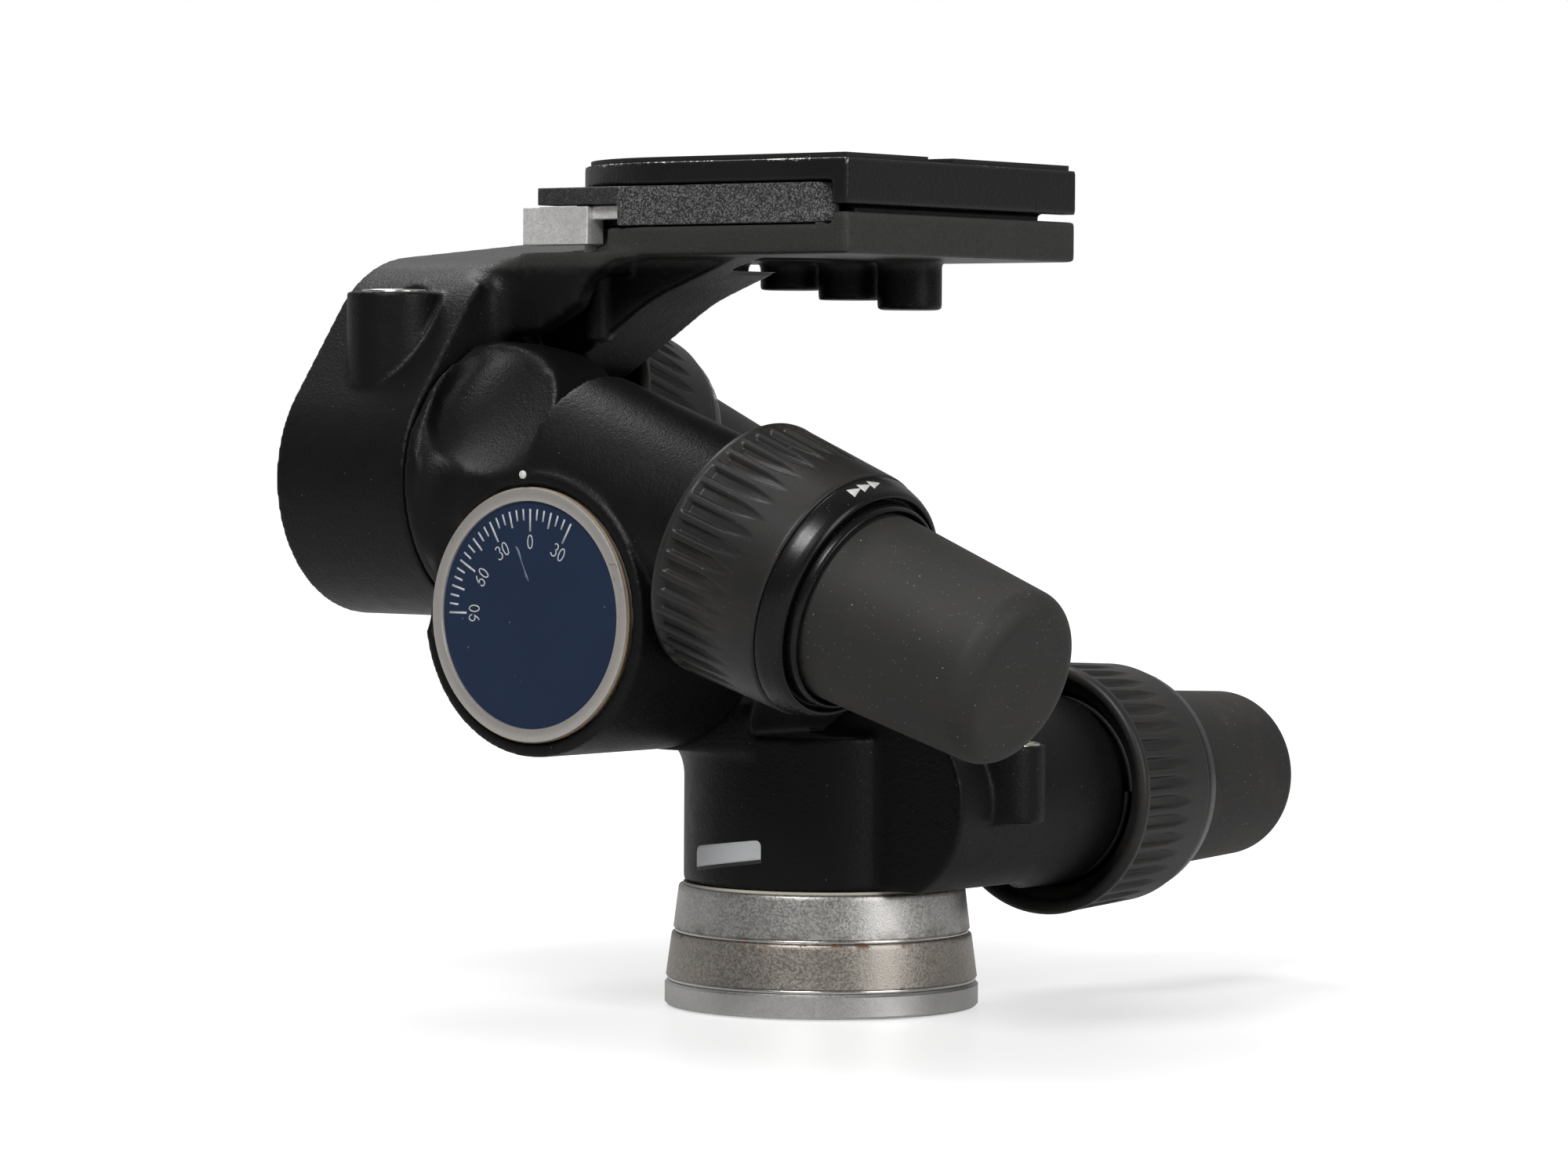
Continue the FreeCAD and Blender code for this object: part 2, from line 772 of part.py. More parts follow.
def return_spring(stage):
    """The wound spring that turns the release collar back."""
    name = stage.name + "_return_spring"
    helix = doc.addObject("Part::Helix", name + "_helix")
    coil_radius = "spring_room_radius - spring_wire - part_gap"
    bind(helix, Pitch="spring_pitch", Height="spring_pitch * spring_turns", Radius=coil_radius)
    helix.SegmentLength = 1
    section = doc.addObject("Part::Circle", name + "_section")
    bind(section, Radius="spring_wire")
    place(section, (coil_radius, "0", "0"), TOWARDS_FRONT)
    coil = doc.addObject("Part::Sweep", name + "_coil")
    coil.Sections = [section]
    coil.Spine = (helix, ["Edge1"])
    coil.Solid = True
    coil.Frenet = True
    low = "%s + tube_overlap + spring_wire + 1" % stage.rim
    piece(name, coil, stage.along(low), stage.worm_turn)


def grip(stage):
    """The rubber cap over the knob's core."""
    name = stage.name + "_grip"
    body = turned(name + "_body", [
        ("grip_base - grip_wall", "grip_start"),
        ("grip_base", "grip_start"),
        ("grip_tip", "grip_end"),
        ("0", "grip_end"),
        ("0", "core_end"),
        ("grip_tip - grip_wall", "core_end"),
    ])
    end = number("grip_end")
    tip = number("grip_tip")
    round_rims(body, "grip_corner", lambda edge: len(edge.Vertexes) == 1
               and abs(edge.BoundBox.ZMax - end) < 1e-6 and abs(edge.BoundBox.XMax - tip) < 1e-6)
    piece(name, body, stage.along(stage.rim), stage.worm_turn)


def knob_core(stage):
    name = stage.name + "_knob_core"
    piece(name, turned(name + "_body", [
        ("shaft_radius", "grip_start"),
        ("grip_base - grip_wall", "grip_start"),
        ("grip_tip - grip_wall", "core_end"),
        ("0", "core_end"),
        ("0", "grip_start + 24"),
        ("shaft_radius", "grip_start + 24"),
    ]), stage.along(stage.rim), stage.worm_turn)


def knob_set(stage):
    worm_wheel(stage)
    worm_shaft(stage)
    worm_bush(stage)
    release_collar(stage)
    collar_ring(stage)
    return_spring(stage)
    grip(stage)
    knob_core(stage)


# ---------------------------------------------------------------- roll and tilt axles

def axle(name, depth, seam, turn):
    """A flanged axle let into its parent, running out to the dial, with its three screws."""
    body = turned(name + "_axle_body", [
        ("0", "-axle_root"),
        ("axle_radius", "-axle_root"),
        ("axle_radius", "-flange_thick"),
        ("flange_radius", "-flange_thick"),
        ("flange_radius", "0"),
        ("axle_radius + axle_shoulder", "0"),
        ("axle_radius + axle_shoulder", "wheel_offset - wheel_width / 2"),
        ("axle_radius", "wheel_offset - wheel_width / 2"),
        ("axle_radius", depth + " - bezel_depth + bezel_rise"),
        ("0", depth + " - bezel_depth + bezel_rise"),
    ])
    holes = around(name + "_axle_holes", "screw_radius", "flange_thick", "screw_ring_radius", 3, "-flange_thick")
    heads = around(name + "_axle_heads", "screw_head_radius", "screw_head_height",
                   "screw_ring_radius", 3, "-screw_head_height")
    piece(name + "_axle", cut(name + "_axle_drilled", body, holes, heads), seam, turn)
    shank = around(name + "_shank", "screw_radius", "screw_length", "screw_ring_radius", 3, "-screw_length")
    head = around(name + "_head", "screw_head_radius", "screw_head_height",
                  "screw_ring_radius", 3, "-screw_head_height")
    piece(name + "_axle_screws", fuse(name + "_screws", shank, head), seam, turn)


def axle_sockets(name, seam, turn):
    """What the parent casting loses for an axle: flange pocket, root bore and screw holes."""
    pocket = cylinder(name + "_flange_pocket", "flange_radius", "flange_thick", ("0", "0", "-flange_thick"))
    root = cylinder(name + "_root_bore", "axle_radius", "axle_root", ("0", "0", "-axle_root"))
    holes = around(name + "_socket_holes", "screw_radius", "screw_length", "screw_ring_radius", 3, "-screw_length")
    return place(fuse(name + "_sockets", pocket, root, holes), seam, turn)


def drum_bores(name, depth, seam, turn):
    """What a drum loses inside: wheel room, bush bore and the dial's pocket."""
    wheel_end = "wheel_offset + wheel_width / 2 + gear_room"
    room = cylinder(name + "_wheel_room", "wheel_cavity", wheel_end)
    bush = cylinder(name + "_bush_bore", "axle_bush", depth)
    pocket = cylinder(name + "_dial_pocket", "bezel_radius + bezel_gap", "bezel_depth + part_gap",
                      ("0", "0", depth + " - bezel_depth + bezel_rise - part_gap"))
    return place(fuse(name + "_bores", room, bush, pocket), seam, turn)


def drum_bush(name, depth, seam, turn):
    low = "wheel_offset + wheel_width / 2 + gear_room"
    high = depth + " - bezel_depth + bezel_rise - part_gap"
    piece(name + "_bush", turned(name + "_bush_body", [
        ("axle_fit", low),
        ("axle_bush", low),
        ("axle_bush", high),
        ("axle_fit", high),
    ]), seam, turn)


def dial(name, depth, seam, turn):
    """A metal bezel on the axle's end with the printed disc inside it."""
    back = depth + " - bezel_depth + bezel_rise"
    front = depth + " + bezel_rise"
    piece(name + "_dial_ring", turned(name + "_dial_ring_body", [
        ("0", back),
        ("bezel_radius", back),
        ("bezel_radius", front),
        ("bezel_radius - bezel_width", front),
        ("bezel_radius - bezel_width", back + " + bezel_floor"),
        ("0", back + " + bezel_floor"),
    ]), seam, turn)
    piece(name + "_dial_face", turned(name + "_dial_face_body", [
        ("0", back + " + bezel_floor"),
        ("bezel_radius - bezel_width", back + " + bezel_floor"),
        ("bezel_radius - bezel_width", front + " - dial_sink"),
        ("0", front + " - dial_sink"),
    ]), seam, turn)


def drum_stage(name, depth, seam, turn):
    axle(name, depth, seam, turn)
    drum_bush(name, depth, seam, turn)
    dial(name, depth, seam, turn)


# ---------------------------------------------------------------- bubble levels

def level(name, spot):
    """A round vial and its metal ring let into a boss; spot is the middle of the boss top."""
    piece(name + "_level_vial", turned(name + "_vial_body", [
        ("0", "-vial_depth"),
        ("vial_radius", "-vial_depth"),
        ("vial_radius", "0"),
        ("0", "0"),
    ]), spot)
    piece(name + "_level_ring", turned(name + "_level_ring_body", [
        ("vial_radius", "-vial_depth / 2"),
        ("vial_radius + level_ring_width", "-vial_depth / 2"),
        ("vial_radius + level_ring_width", "level_ring_rise"),
        ("vial_radius", "level_ring_rise"),
    ]), spot)


def level_pocket(name, spot):
    deep = cylinder(name + "_deep", "vial_radius", "vial_depth", ("0", "0", "-vial_depth"))
    wide = cylinder(name + "_wide", "vial_radius + level_ring_width", "vial_depth / 2", ("0", "0", "-vial_depth / 2"))
    clear = cylinder(name + "_clear", "vial_radius + level_ring_width + part_gap", "spot_face", ("0", "0", "0"))
    return place(fuse(name, deep, wide, clear), spot)


PAN_LEVEL = ("pan_level_x", "pan_level_y", "pan_level_top")
BRACKET_LEVEL = ("bracket_level_x", "bracket_level_y", "bracket_level_top")


# ---------------------------------------------------------------- pan housing

def pan_housing():
    column = cylinder("pan_column", "pan_radius", "pan_top - housing_floor", ("0", "0", "housing_floor"))
    rims = []
    for share, shift in ((0, 0), (0.6, 0.22), (1, 1)):
        rim = doc.addObject("Part::Circle", "flare_rim_%d" % len(rims))
        bind(rim, Radius="pan_radius")
        height = "flare_start + %s * (flare_top - flare_start)" % share
        rims.append(place(rim, ("-flare_shift * %s" % shift, "0", height)))
    flare = doc.addObject("Part::Loft", "pan_flare")
    flare.Sections = rims
    flare.Solid = True
    flange = cylinder("block_flange_disc", "drum_radius", "block_flange", ROLL_SEAM, ALONG_Y)
    drum = cylinder("block_drum", "block_radius", "block_back - seam_y", ROLL_SEAM, ALONG_Y)
    pillar = box("block_pillar",
                 ("roll_x - block_left", "seam_y", "flare_top - 2"),
                 ("roll_x + block_right", "block_back", "roll_z"))
    # the corner that the tilt drum passes when the head is rolled over stays inside the drum's round
    corner = box("block_corner",
                 ("roll_x - block_left - 1", "seam_y - 1", "flare_top - 3"),
                 ("roll_x", "seam_y + block_trim", "roll_z"))
    round_room = cylinder("block_round", "drum_radius", "block_trim + 4",
                          ("roll_x", "seam_y - 2", "roll_z"), ALONG_Y)
    pillar = cut("block_trimmed", pillar, cut("block_corner_cut", corner, round_room))
    tube, neck = tube_solids(PAN)
    boss = cylinder("pan_boss", "level_boss_radius", "pan_level_depth",
                    ("pan_level_x", "pan_level_y", "pan_level_top - pan_level_depth"))
    solid = fuse("pan_solid", column, flare, flange, drum, pillar, tube, neck, boss)
    foot_room = cylinder("pan_foot_room", "pan_clear", "housing_floor")
    wheel_room = cylinder("pan_wheel_room", "wheel_cavity",
                          "pan_worm_height + wheel_width / 2 + gear_room - housing_floor + 1",
                          ("0", "0", "housing_floor - 1"))
    bush_bore = cylinder("pan_bush_bore", "axle_bush", "axle_top - pan_worm_height", ("0", "0", "pan_worm_height"))
    retainer_room = cylinder("pan_retainer_room", "axle_radius + retainer_width + 1",
                             "2 * part_gap + retainer_height", ("0", "0", "axle_top"))
    chamber, journal = worm_bores(PAN)
    sockets = axle_sockets("roll", ROLL_SEAM, TOWARDS_FRONT)
    vial = level_pocket("pan_vial_pocket", PAN_LEVEL)
    hollow = cylinder("block_hollow", "block_radius - block_wall",
                      "block_back - seam_y - axle_root - 2 * block_wall",
                      ("roll_x", "seam_y + axle_root + block_wall", "roll_z"), ALONG_Y)
    passage = cylinder("block_passage_bore", "block_passage", "roll_z - axle_top",
                       ("roll_x / 2", "0", "axle_top"))
    # relief for the roll collar at the end of its swing
    drop = "((roll_drop + roll_limit) * 1deg)"
    start = "(roll_rim - collar_clear)"
    relief = cylinder("collar_relief", "collar_big + 2 * part_gap", "collar_length",
                      ("roll_x + centre_distance * sin(%s) + %s * cos(%s)" % (drop, start, drop), ROLL_WORM_Y,
                       "roll_z + centre_distance * cos(%s) - %s * sin(%s)" % (drop, start, drop)),
                      "rotation(vector(0; 1; 0); 90 + roll_drop + roll_limit)")
    piece("pan_housing", cut("pan_hollowed", solid, foot_room, wheel_room, bush_bore, retainer_room,
                             chamber, journal, sockets, vial, hollow, passage, relief))


# ---------------------------------------------------------------- mid body

def mid_body():
    front = "seam_y - roll_depth"
    crown_z = "tilt_z + barrel_radius - barrel_crown"
    foot_x, foot_y, foot_z = ROLL.worm_spot
    drum = cylinder("mid_drum", "drum_radius", "roll_depth - part_gap",
                    ("roll_x", front, "roll_z"), ALONG_Y)
    barrel = cylinder("mid_barrel_round", "barrel_radius", "crown_x + barrel_crown - seam_x", TILT_SEAM, ALONG_X)
    keep_left = box("barrel_keep_left",
                    ("seam_x - 1", "tilt_y - 40", "tilt_z - 40"),
                    ("crown_x", "tilt_y + 40", "tilt_z + 40"))
    keep_low = box("barrel_keep_low",
                   ("seam_x", "tilt_y - 39", "tilt_z - 39"),
                   ("crown_x + barrel_crown", "tilt_y + 39", crown_z))
    keep_crown = cylinder("barrel_keep_crown", "barrel_crown", "76", ("crown_x", "tilt_y - 38", crown_z), ALONG_Y)
    barrel = common("mid_barrel", barrel, fuse("barrel_keep", keep_left, keep_low, keep_crown))
    fill = box("mid_fill",
               ("seam_x + barrel_cover", front, "roll_z"),
               (foot_x, "seam_y - part_gap", "tilt_z"))
    dimple = doc.addObject("Part::Ellipsoid", "mid_dimple")
    bind(dimple, Radius1="dimple_length / 2", Radius2="dimple_width / 2", Radius3="dimple_depth")
    place(dimple, ("dimple_x", front + " + dimple_sink", "dimple_z"),
          "rotation(vector(1; 0; 0); -dimple_lean)")
    face = box("mid_face_cut",
               ("seam_x + barrel_cover / 2", front + " - 20", "tilt_z - barrel_radius - 10"),
               ("roll_x + 60", front, "tilt_z + barrel_radius + 10"))
    casting = cut("mid_dished", fuse("mid_casting", drum, barrel, fill), face, dimple)
    tube, neck = tube_solids(ROLL)
    solid = fuse("mid_solid", casting, tube, neck)
    back = box("mid_back_cut",
               ("seam_x + barrel_cover", "seam_y - part_gap", "tilt_z - barrel_radius - 10"),
               ("roll_x + 60", "tilt_y + barrel_radius + 10", "tilt_z + barrel_radius + 10"))
    behind = box("mid_behind",
                 ("seam_x - 1", "seam_y - part_gap", "tilt_z - barrel_radius - 10"),
                 ("seam_x + barrel_cover + 1", "tilt_y + barrel_radius + 10", "tilt_z + barrel_radius + 10"))
    keep_socket = cylinder("mid_socket_wall", "flange_radius + socket_wall", "barrel_cover + 4",
                           ("seam_x - 2", "tilt_y", "tilt_z"), ALONG_X)
    behind = cut("mid_behind_cut", behind, keep_socket)
    cradle = cylinder("mid_cradle_cut", "drum_radius + 0.4", "60", ("roll_x", "seam_y - part_gap", "roll_z"), ALONG_Y)
    bores = drum_bores("roll", "roll_depth", ROLL_SEAM, TOWARDS_FRONT)
    chamber, journal = worm_bores(ROLL)
    sockets = axle_sockets("tilt", TILT_SEAM, TOWARDS_LEFT)
    piece("mid_body", cut("mid_hollowed", solid, back, behind, cradle, bores, chamber, journal, sockets))


# ---------------------------------------------------------------- bracket with the plate holder

def plate_outline(name, inset, low, high):
    """The plate's plan: straight sides with a half-round left end."""
    half = "(plate_half - (%s))" % inset
    round_end = cylinder(name + "_round", half, "(%s) - (%s)" % (high, low), ("plate_bend", "plate_middle", low))
    straight = box(name + "_straight",
                   ("plate_bend", "plate_middle - " + half, low),
                   ("plate_right - (%s)" % inset, "plate_middle + " + half, high))
    return fuse(name, round_end, straight)


def side_prism(name, points, left, right):
    """A prism with a (Y, Z) outline, running from left to right along X."""
    body = padded(name, points, "(%s) - (%s)" % (right, left), "YZ_Plane")
    return place(body, (left, "0", "0"))


def front_prism(name, points, front, back):
    """A prism with an (X, Z) outline, running from front to back along Y."""
    body = padded(name, points, "(%s) - (%s)" % (back, front), "XZ_Plane")
    return place(body, ("0", back, "0"))


def edge_along(direction, points):
    """A test for straight edges along a direction that pass near one of the given corner points."""
    corners = [FreeCAD.Vector(*(number(text) for text in point)) for point in points]

    def test(edge):
        if not isinstance(edge.Curve, (Part.Line, Part.LineSegment)):
            return False
        first, last = edge.Vertexes[0].Point, edge.Vertexes[-1].Point
        if abs((last - first).normalize().dot(direction)) < 0.999:
            return False
        return any(min((first - corner).cross(direction).Length, 99) < 0.01 for corner in corners)
    return test


def arm_prisms():
    """The arm between the shoulder and the plate holder: a front skirt, a thin roof and a web."""
    along_y = FreeCAD.Vector(0, 1, 0)
    left = "seam_x - 1"
    roof = "holder_bottom + 1"
    bends = [
        ("seam_x + 8.5", "skirt_low"),
        ("seam_x + 18.2", "skirt_low + 4.8"),
        ("seam_x + 20.6", "skirt_low + 9.4"),
        ("seam_x + 26", "skirt_low + 13"),
    ]
    skirt = front_prism("arm_skirt", [
        (left, "skirt_low"),
        *bends,
        ("seam_x + 34", "holder_bottom"),
        ("seam_x + 34", roof),
        (left, roof),
    ], "skirt_front", "skirt_front + skirt_thick")
    round_rims(skirt, "skirt_round", edge_along(along_y, [(x, "0", z) for x, z in bends]))
    web = front_prism("arm_web", [
        (left, "web_low"),
        ("web_bend_x", "web_bend_z"),
        ("web_bend_x + 21.4", "holder_bottom"),
        ("web_bend_x + 21.4", roof),
        (left, roof),
    ], "web_front", "web_back")
    round_rims(web, "web_round", edge_along(along_y, [("web_bend_x", "0", "web_bend_z")]))
    cover = box("arm_roof",
                (left, "skirt_front", "holder_bottom - arm_thick + 1"),
                ("seam_x + 24", "shoulder_back", roof))
    rib = cylinder("arm_rib", "rib_radius", "holder_bottom - web_bend_z + 7.5", ("rib_x", "web_front", "web_bend_z - 7.5"))
    return skirt, web, cover, rib


def bracket():
    end = "seam_x - tilt_depth"
    drum = cylinder("tilt_drum", "barrel_radius", "tilt_depth - part_gap", (end, "tilt_y", "tilt_z"), ALONG_X)
    shoulder = side_prism("tilt_shoulder", [
        ("tilt_y - barrel_radius * 0.8", "tilt_z + barrel_radius * 0.6"),
        ("shoulder_corner_y", "shoulder_corner_z"),
        ("shoulder_back", "shoulder_top"),
        ("shoulder_back", "holder_bottom - 10"),
        ("tilt_y + barrel_radius * 0.8", "tilt_z + barrel_radius * 0.6"),
        ("tilt_y", "tilt_z"),
    ], end, "seam_x - part_gap")
    round_rims(shoulder, "shoulder_round", edge_along(
        FreeCAD.Vector(1, 0, 0), [("0", "shoulder_corner_y", "shoulder_corner_z")]))
    skirt, web, cover, rib = arm_prisms()
    holder = plate_outline("holder_slab", "0", "holder_bottom", "holder_top")
    boss = cylinder("bracket_boss", "bracket_boss_radius", "bracket_level_top - tilt_z",
                    ("bracket_level_x", "bracket_level_y", "tilt_z"))
    nubs = []
    for index in (-1, 0, 1):
        drop = "(under_boss_drop + %s * 2)" % (index + 1)
        spot = ("screw_x + 2.5 + under_boss_step * %d" % index, "under_boss_y", "holder_bottom - " + drop)
        nubs.append(cylinder("under_boss_%d" % (index + 2), "under_boss_radius", drop + " + 1", spot))
    casting = fuse("bracket_casting", drum, shoulder, skirt, web, cover, rib, holder, boss, *nubs)
    swing = cylinder("barrel_room", "barrel_radius + 0.8", "60", ("seam_x - part_gap", "tilt_y", "tilt_z"), ALONG_X)
    tube, neck = tube_solids(TILT)
    solid = fuse("bracket_solid", cut("bracket_cleared", casting, collar_room(TILT)), tube, neck)
    seat = box("plate_seat",
               ("boss_left - seat_room", "boss_front - seat_room", "holder_top - seat_depth"),
               ("boss_right + seat_room", "boss_back + seat_room", "holder_top + 1"))
    ledge = box("lever_ledge_cut",
                ("catch_left - 6", "plate_middle - plate_half - 1", "holder_top - lever_ledge"),
                ("lever_pivot_x + lever_half_width + 1.6", "lever_pivot_y + lever_half_width + 0.3", "holder_top + 1"))
    catch_room = box("catch_room_cut",
                     ("catch_left - 1", "plate_middle - plate_half - 1", "catch_low - part_gap"),
                     ("catch_right + catch_travel + part_gap", "lever_pivot_y + lever_half_width + part_gap",
                      "holder_top + 1"))
    key_hole = cylinder("key_hole", "key_room", "holder_height + key_pocket + 1",
                        ("screw_x", "screw_y", "holder_bottom - key_pocket"))
    pivot_hole = cylinder("pivot_hole", "pivot_radius", "holder_height",
                          ("lever_pivot_x", "lever_pivot_y", "holder_bottom + 1.5"))
    bores = drum_bores("tilt", "tilt_depth", TILT_SEAM, TOWARDS_LEFT)
    chamber, journal = worm_bores(TILT)
    vial = level_pocket("bracket_vial_pocket", BRACKET_LEVEL)
    piece("bracket", cut("bracket_hollowed", solid, swing, seat, ledge, catch_room, key_hole, pivot_hole,
                         bores, chamber, journal, vial))


# ---------------------------------------------------------------- camera plate

def camera_plate():
    flange = plate_outline("plate_flange", "0", "plate_top - flange_plate_thick", "plate_top")
    strip = box("plate_strip",
                ("boss_right", "plate_middle - plate_half", "plate_bottom"),
                ("plate_right", "plate_middle + plate_half", "plate_top - flange_plate_thick"))
    boss = box("plate_boss",
               ("boss_left", "boss_front", "plate_bottom - boss_drop"),
               ("boss_right", "boss_back", "plate_top - flange_plate_thick"))
    solid = fuse("plate_solid", flange, strip, boss)
    room = cylinder("head_room", "head_room_radius", "head_room_top - plate_bottom + boss_drop + 1",
                    ("screw_x", "screw_y", "plate_bottom - boss_drop - 1"))
    hole = cylinder("camera_hole", "camera_thread_radius + part_gap", "plate_thick + boss_drop",
                    ("screw_x", "screw_y", "plate_bottom"))
    piece("camera_plate", cut("plate_hollowed", solid, room, hole))


def plate_pads():
    """Two rubber pads with a clear strip between them over the camera screw."""
    for side, near, far in (("front", "plate_middle - plate_half", "slot_front"),
                            ("back", "slot_back", "plate_middle + plate_half")):
        whole = plate_outline("pad_%s_whole" % side, "pad_inset", "plate_top", "plate_top + pad_thick")
        window = box("pad_%s_window" % side,
                     ("plate_bend - plate_half - 1", near, "plate_top"),
                     ("plate_right", far, "plate_top + pad_thick"))
        piece("pad_" + side, common("pad_%s_shape" % side, whole, window))


def camera_screw():
    top = "plate_top + camera_thread_rise"
    shank = turned("camera_screw_body", [
        ("0", "camera_head_level"),
        ("camera_head_radius", "camera_head_level"),
        ("camera_head_radius", "camera_head_level + camera_head_height"),
        ("camera_thread_radius", "camera_head_level + camera_head_height"),
        ("camera_thread_radius", top + " - edge_break"),
        ("camera_thread_radius - edge_break", top),
        ("0", top),
    ])
    lug = box("camera_lug",
              ("-key_lug_width / 2", "-key_wire - 0.9", "camera_head_level - key_lug_drop"),
              ("key_lug_width / 2", "key_wire + 0.9", "camera_head_level + 0.2"))
    pin_hole = cylinder("key_pin_hole", "key_wire + 0.1", "key_lug_width + 2",
                        ("-key_lug_width / 2 - 1", "0", "camera_head_level - key_lug_drop / 2"), ALONG_X)
    solid = cut("camera_screw_drilled", fuse("camera_screw_solid", shank, lug), pin_hole)
    piece("camera_screw", solid, ("screw_x", "screw_y", "0"))


def screw_clip():
    """The spring clip that keeps the screw in the plate and slides up with it."""
    low = "camera_head_level + camera_head_height + 0.1"
    piece("screw_clip", turned("screw_clip_body", [
        ("camera_thread_radius + running_fit", low),
        ("camera_thread_radius + clip_width", low),
        ("camera_thread_radius + clip_width", low + " + clip_thick"),
        ("camera_thread_radius + running_fit", low + " + clip_thick"),
    ]), ("screw_x", "screw_y", "0"))


def screw_key():
    """The folding D ring under the camera screw."""
    bow = doc.addObject("Part::Torus", "key_bow")
    bind(bow, Radius1="key_half_width", Radius2="key_wire")
    bow.Angle3 = 180
    pin = cylinder("key_pin", "key_wire", "2 * key_half_width", ("-key_half_width", "0", "0"), ALONG_X)
    piece("screw_key", fuse("key_whole", bow, pin),
          ("screw_x", "screw_y", "camera_head_level - key_lug_drop / 2"))


# ---------------------------------------------------------------- lock lever and safety catch

def lock_lever():
    front = "lever_pivot_y - lever_half_width"
    back = "lever_pivot_y + lever_half_width"
    eye = cylinder("lever_eye", "lever_half_width", "lever_height", ("lever_pivot_x", "lever_pivot_y", "lever_bottom"))
    body = box("lever_body", ("lever_body_left", front, "lever_bottom"), ("lever_pivot_x", back, "lever_top"))
    tip = box("lever_tip", ("lever_tip_left", front, "lever_top - lever_tip_height"),
              ("lever_body_left", back, "lever_top"))
    pin = cylinder("lever_pin_hole", "pivot_radius + running_fit", "lever_height + 2",
                   ("lever_pivot_x", "lever_pivot_y", "lever_bottom - 1"))
    slot = box("lever_link_slot",
               ("lever_body_left - 1", "lever_pivot_y - link_depth / 2 - 0.3", "lever_bottom + 1"),
               ("lever_body_left + link_sink + 0.4", "lever_pivot_y + link_depth / 2 + 0.3",
                "lever_bottom + 1.6 + link_height"))
    piece("lock_lever", cut("lever_whole", fuse("lever_solid", eye, body, tip), pin, slot))


def lever_pivot():
    piece("lever_pivot", cylinder("lever_pivot_pin", "pivot_radius",
                                  "lever_top - holder_bottom - 1.5 - lever_gap",
                                  ("lever_pivot_x", "lever_pivot_y", "holder_bottom + 1.5")))


def safety_catch():
    """The sprung tab that slides into the lever's end and frees it."""
    front = "lever_pivot_y - lever_half_width"
    tab = box("catch_tab", ("catch_left", front, "catch_low"),
              ("catch_right", front + " + catch_depth", "catch_low + catch_height"))
    link = box("catch_link",
               ("catch_right - 1", "lever_pivot_y - link_depth / 2", "lever_bottom + 1.3"),
               ("lever_body_left + link_sink - catch_travel", "lever_pivot_y + link_depth / 2",
                "lever_bottom + 1.3 + link_height"))
    piece("safety_catch", fuse("catch_whole", tab, link))


# ---------------------------------------------------------------- build, check and write

def build():
    fill_sheet()
    foot()
    foot_rings()
    thread_insert()
    pan_axle()
    pan_bearings()
    for stage in (PAN, ROLL, TILT):
        knob_set(stage)
    drum_stage("roll", "roll_depth", ROLL_SEAM, TOWARDS_FRONT)
    drum_stage("tilt", "tilt_depth", TILT_SEAM, TOWARDS_LEFT)
    level("pan", PAN_LEVEL)
    level("bracket", BRACKET_LEVEL)
    pan_housing()
    mid_body()
    bracket()
    camera_plate()
    plate_pads()
    camera_screw()
    screw_clip()
    screw_key()
    lock_lever()
    lever_pivot()
    safety_catch()
    doc.recompute()


def check():
    for item in doc.Objects:
        if "Invalid" in item.State or "Error" in item.State:
            raise ValueError("%s did not build: %s" % (item.Name, item.State))
    for item in pieces:
        if item.Shape.isNull() or not item.Shape.isValid() or not item.Shape.Solids:
            raise ValueError("%s has no valid solid" % item.Label)


def write():
    os.makedirs("parts", exist_ok=True)
    for item in pieces:
        item.Shape.exportStep("parts/%s.step" % item.Label)
        print("%-20s solids %d  volume %.0f" % (item.Label, len(item.Shape.Solids), item.Shape.Volume))


build()
check()
write()
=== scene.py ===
"""Looks of a geared tripod head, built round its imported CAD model. Places are in the row frame."""
import json
import math

import bmesh
import bpy
import numpy as np
from mathutils import Matrix, Vector


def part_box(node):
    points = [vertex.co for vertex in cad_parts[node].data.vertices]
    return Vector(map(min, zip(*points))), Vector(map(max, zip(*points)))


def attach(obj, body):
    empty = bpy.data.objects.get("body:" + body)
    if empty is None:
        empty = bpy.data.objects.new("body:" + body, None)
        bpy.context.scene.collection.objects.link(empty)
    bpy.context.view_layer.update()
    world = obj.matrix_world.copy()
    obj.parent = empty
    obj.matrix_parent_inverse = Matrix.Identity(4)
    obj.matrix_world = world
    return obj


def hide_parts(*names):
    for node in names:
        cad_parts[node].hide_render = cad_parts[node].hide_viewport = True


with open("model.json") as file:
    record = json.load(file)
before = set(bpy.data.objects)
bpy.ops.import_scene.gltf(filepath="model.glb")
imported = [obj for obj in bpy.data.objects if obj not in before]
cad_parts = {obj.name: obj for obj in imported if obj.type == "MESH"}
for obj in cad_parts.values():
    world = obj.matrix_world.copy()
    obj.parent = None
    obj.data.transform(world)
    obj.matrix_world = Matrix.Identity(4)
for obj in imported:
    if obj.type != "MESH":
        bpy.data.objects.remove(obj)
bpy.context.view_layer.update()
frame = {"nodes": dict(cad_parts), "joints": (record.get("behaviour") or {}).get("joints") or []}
NODES = frame["nodes"]
JOINTS = {j["name"]: j for j in frame["joints"]}
scene = bpy.context.scene
MM = 0.001


# ------------------------------------------------------------------ small helpers

def smooth(t):
    """A soft step from 0 to 1, for one number."""
    t = min(1.0, max(0.0, t))
    return t * t * (3 - 2 * t)


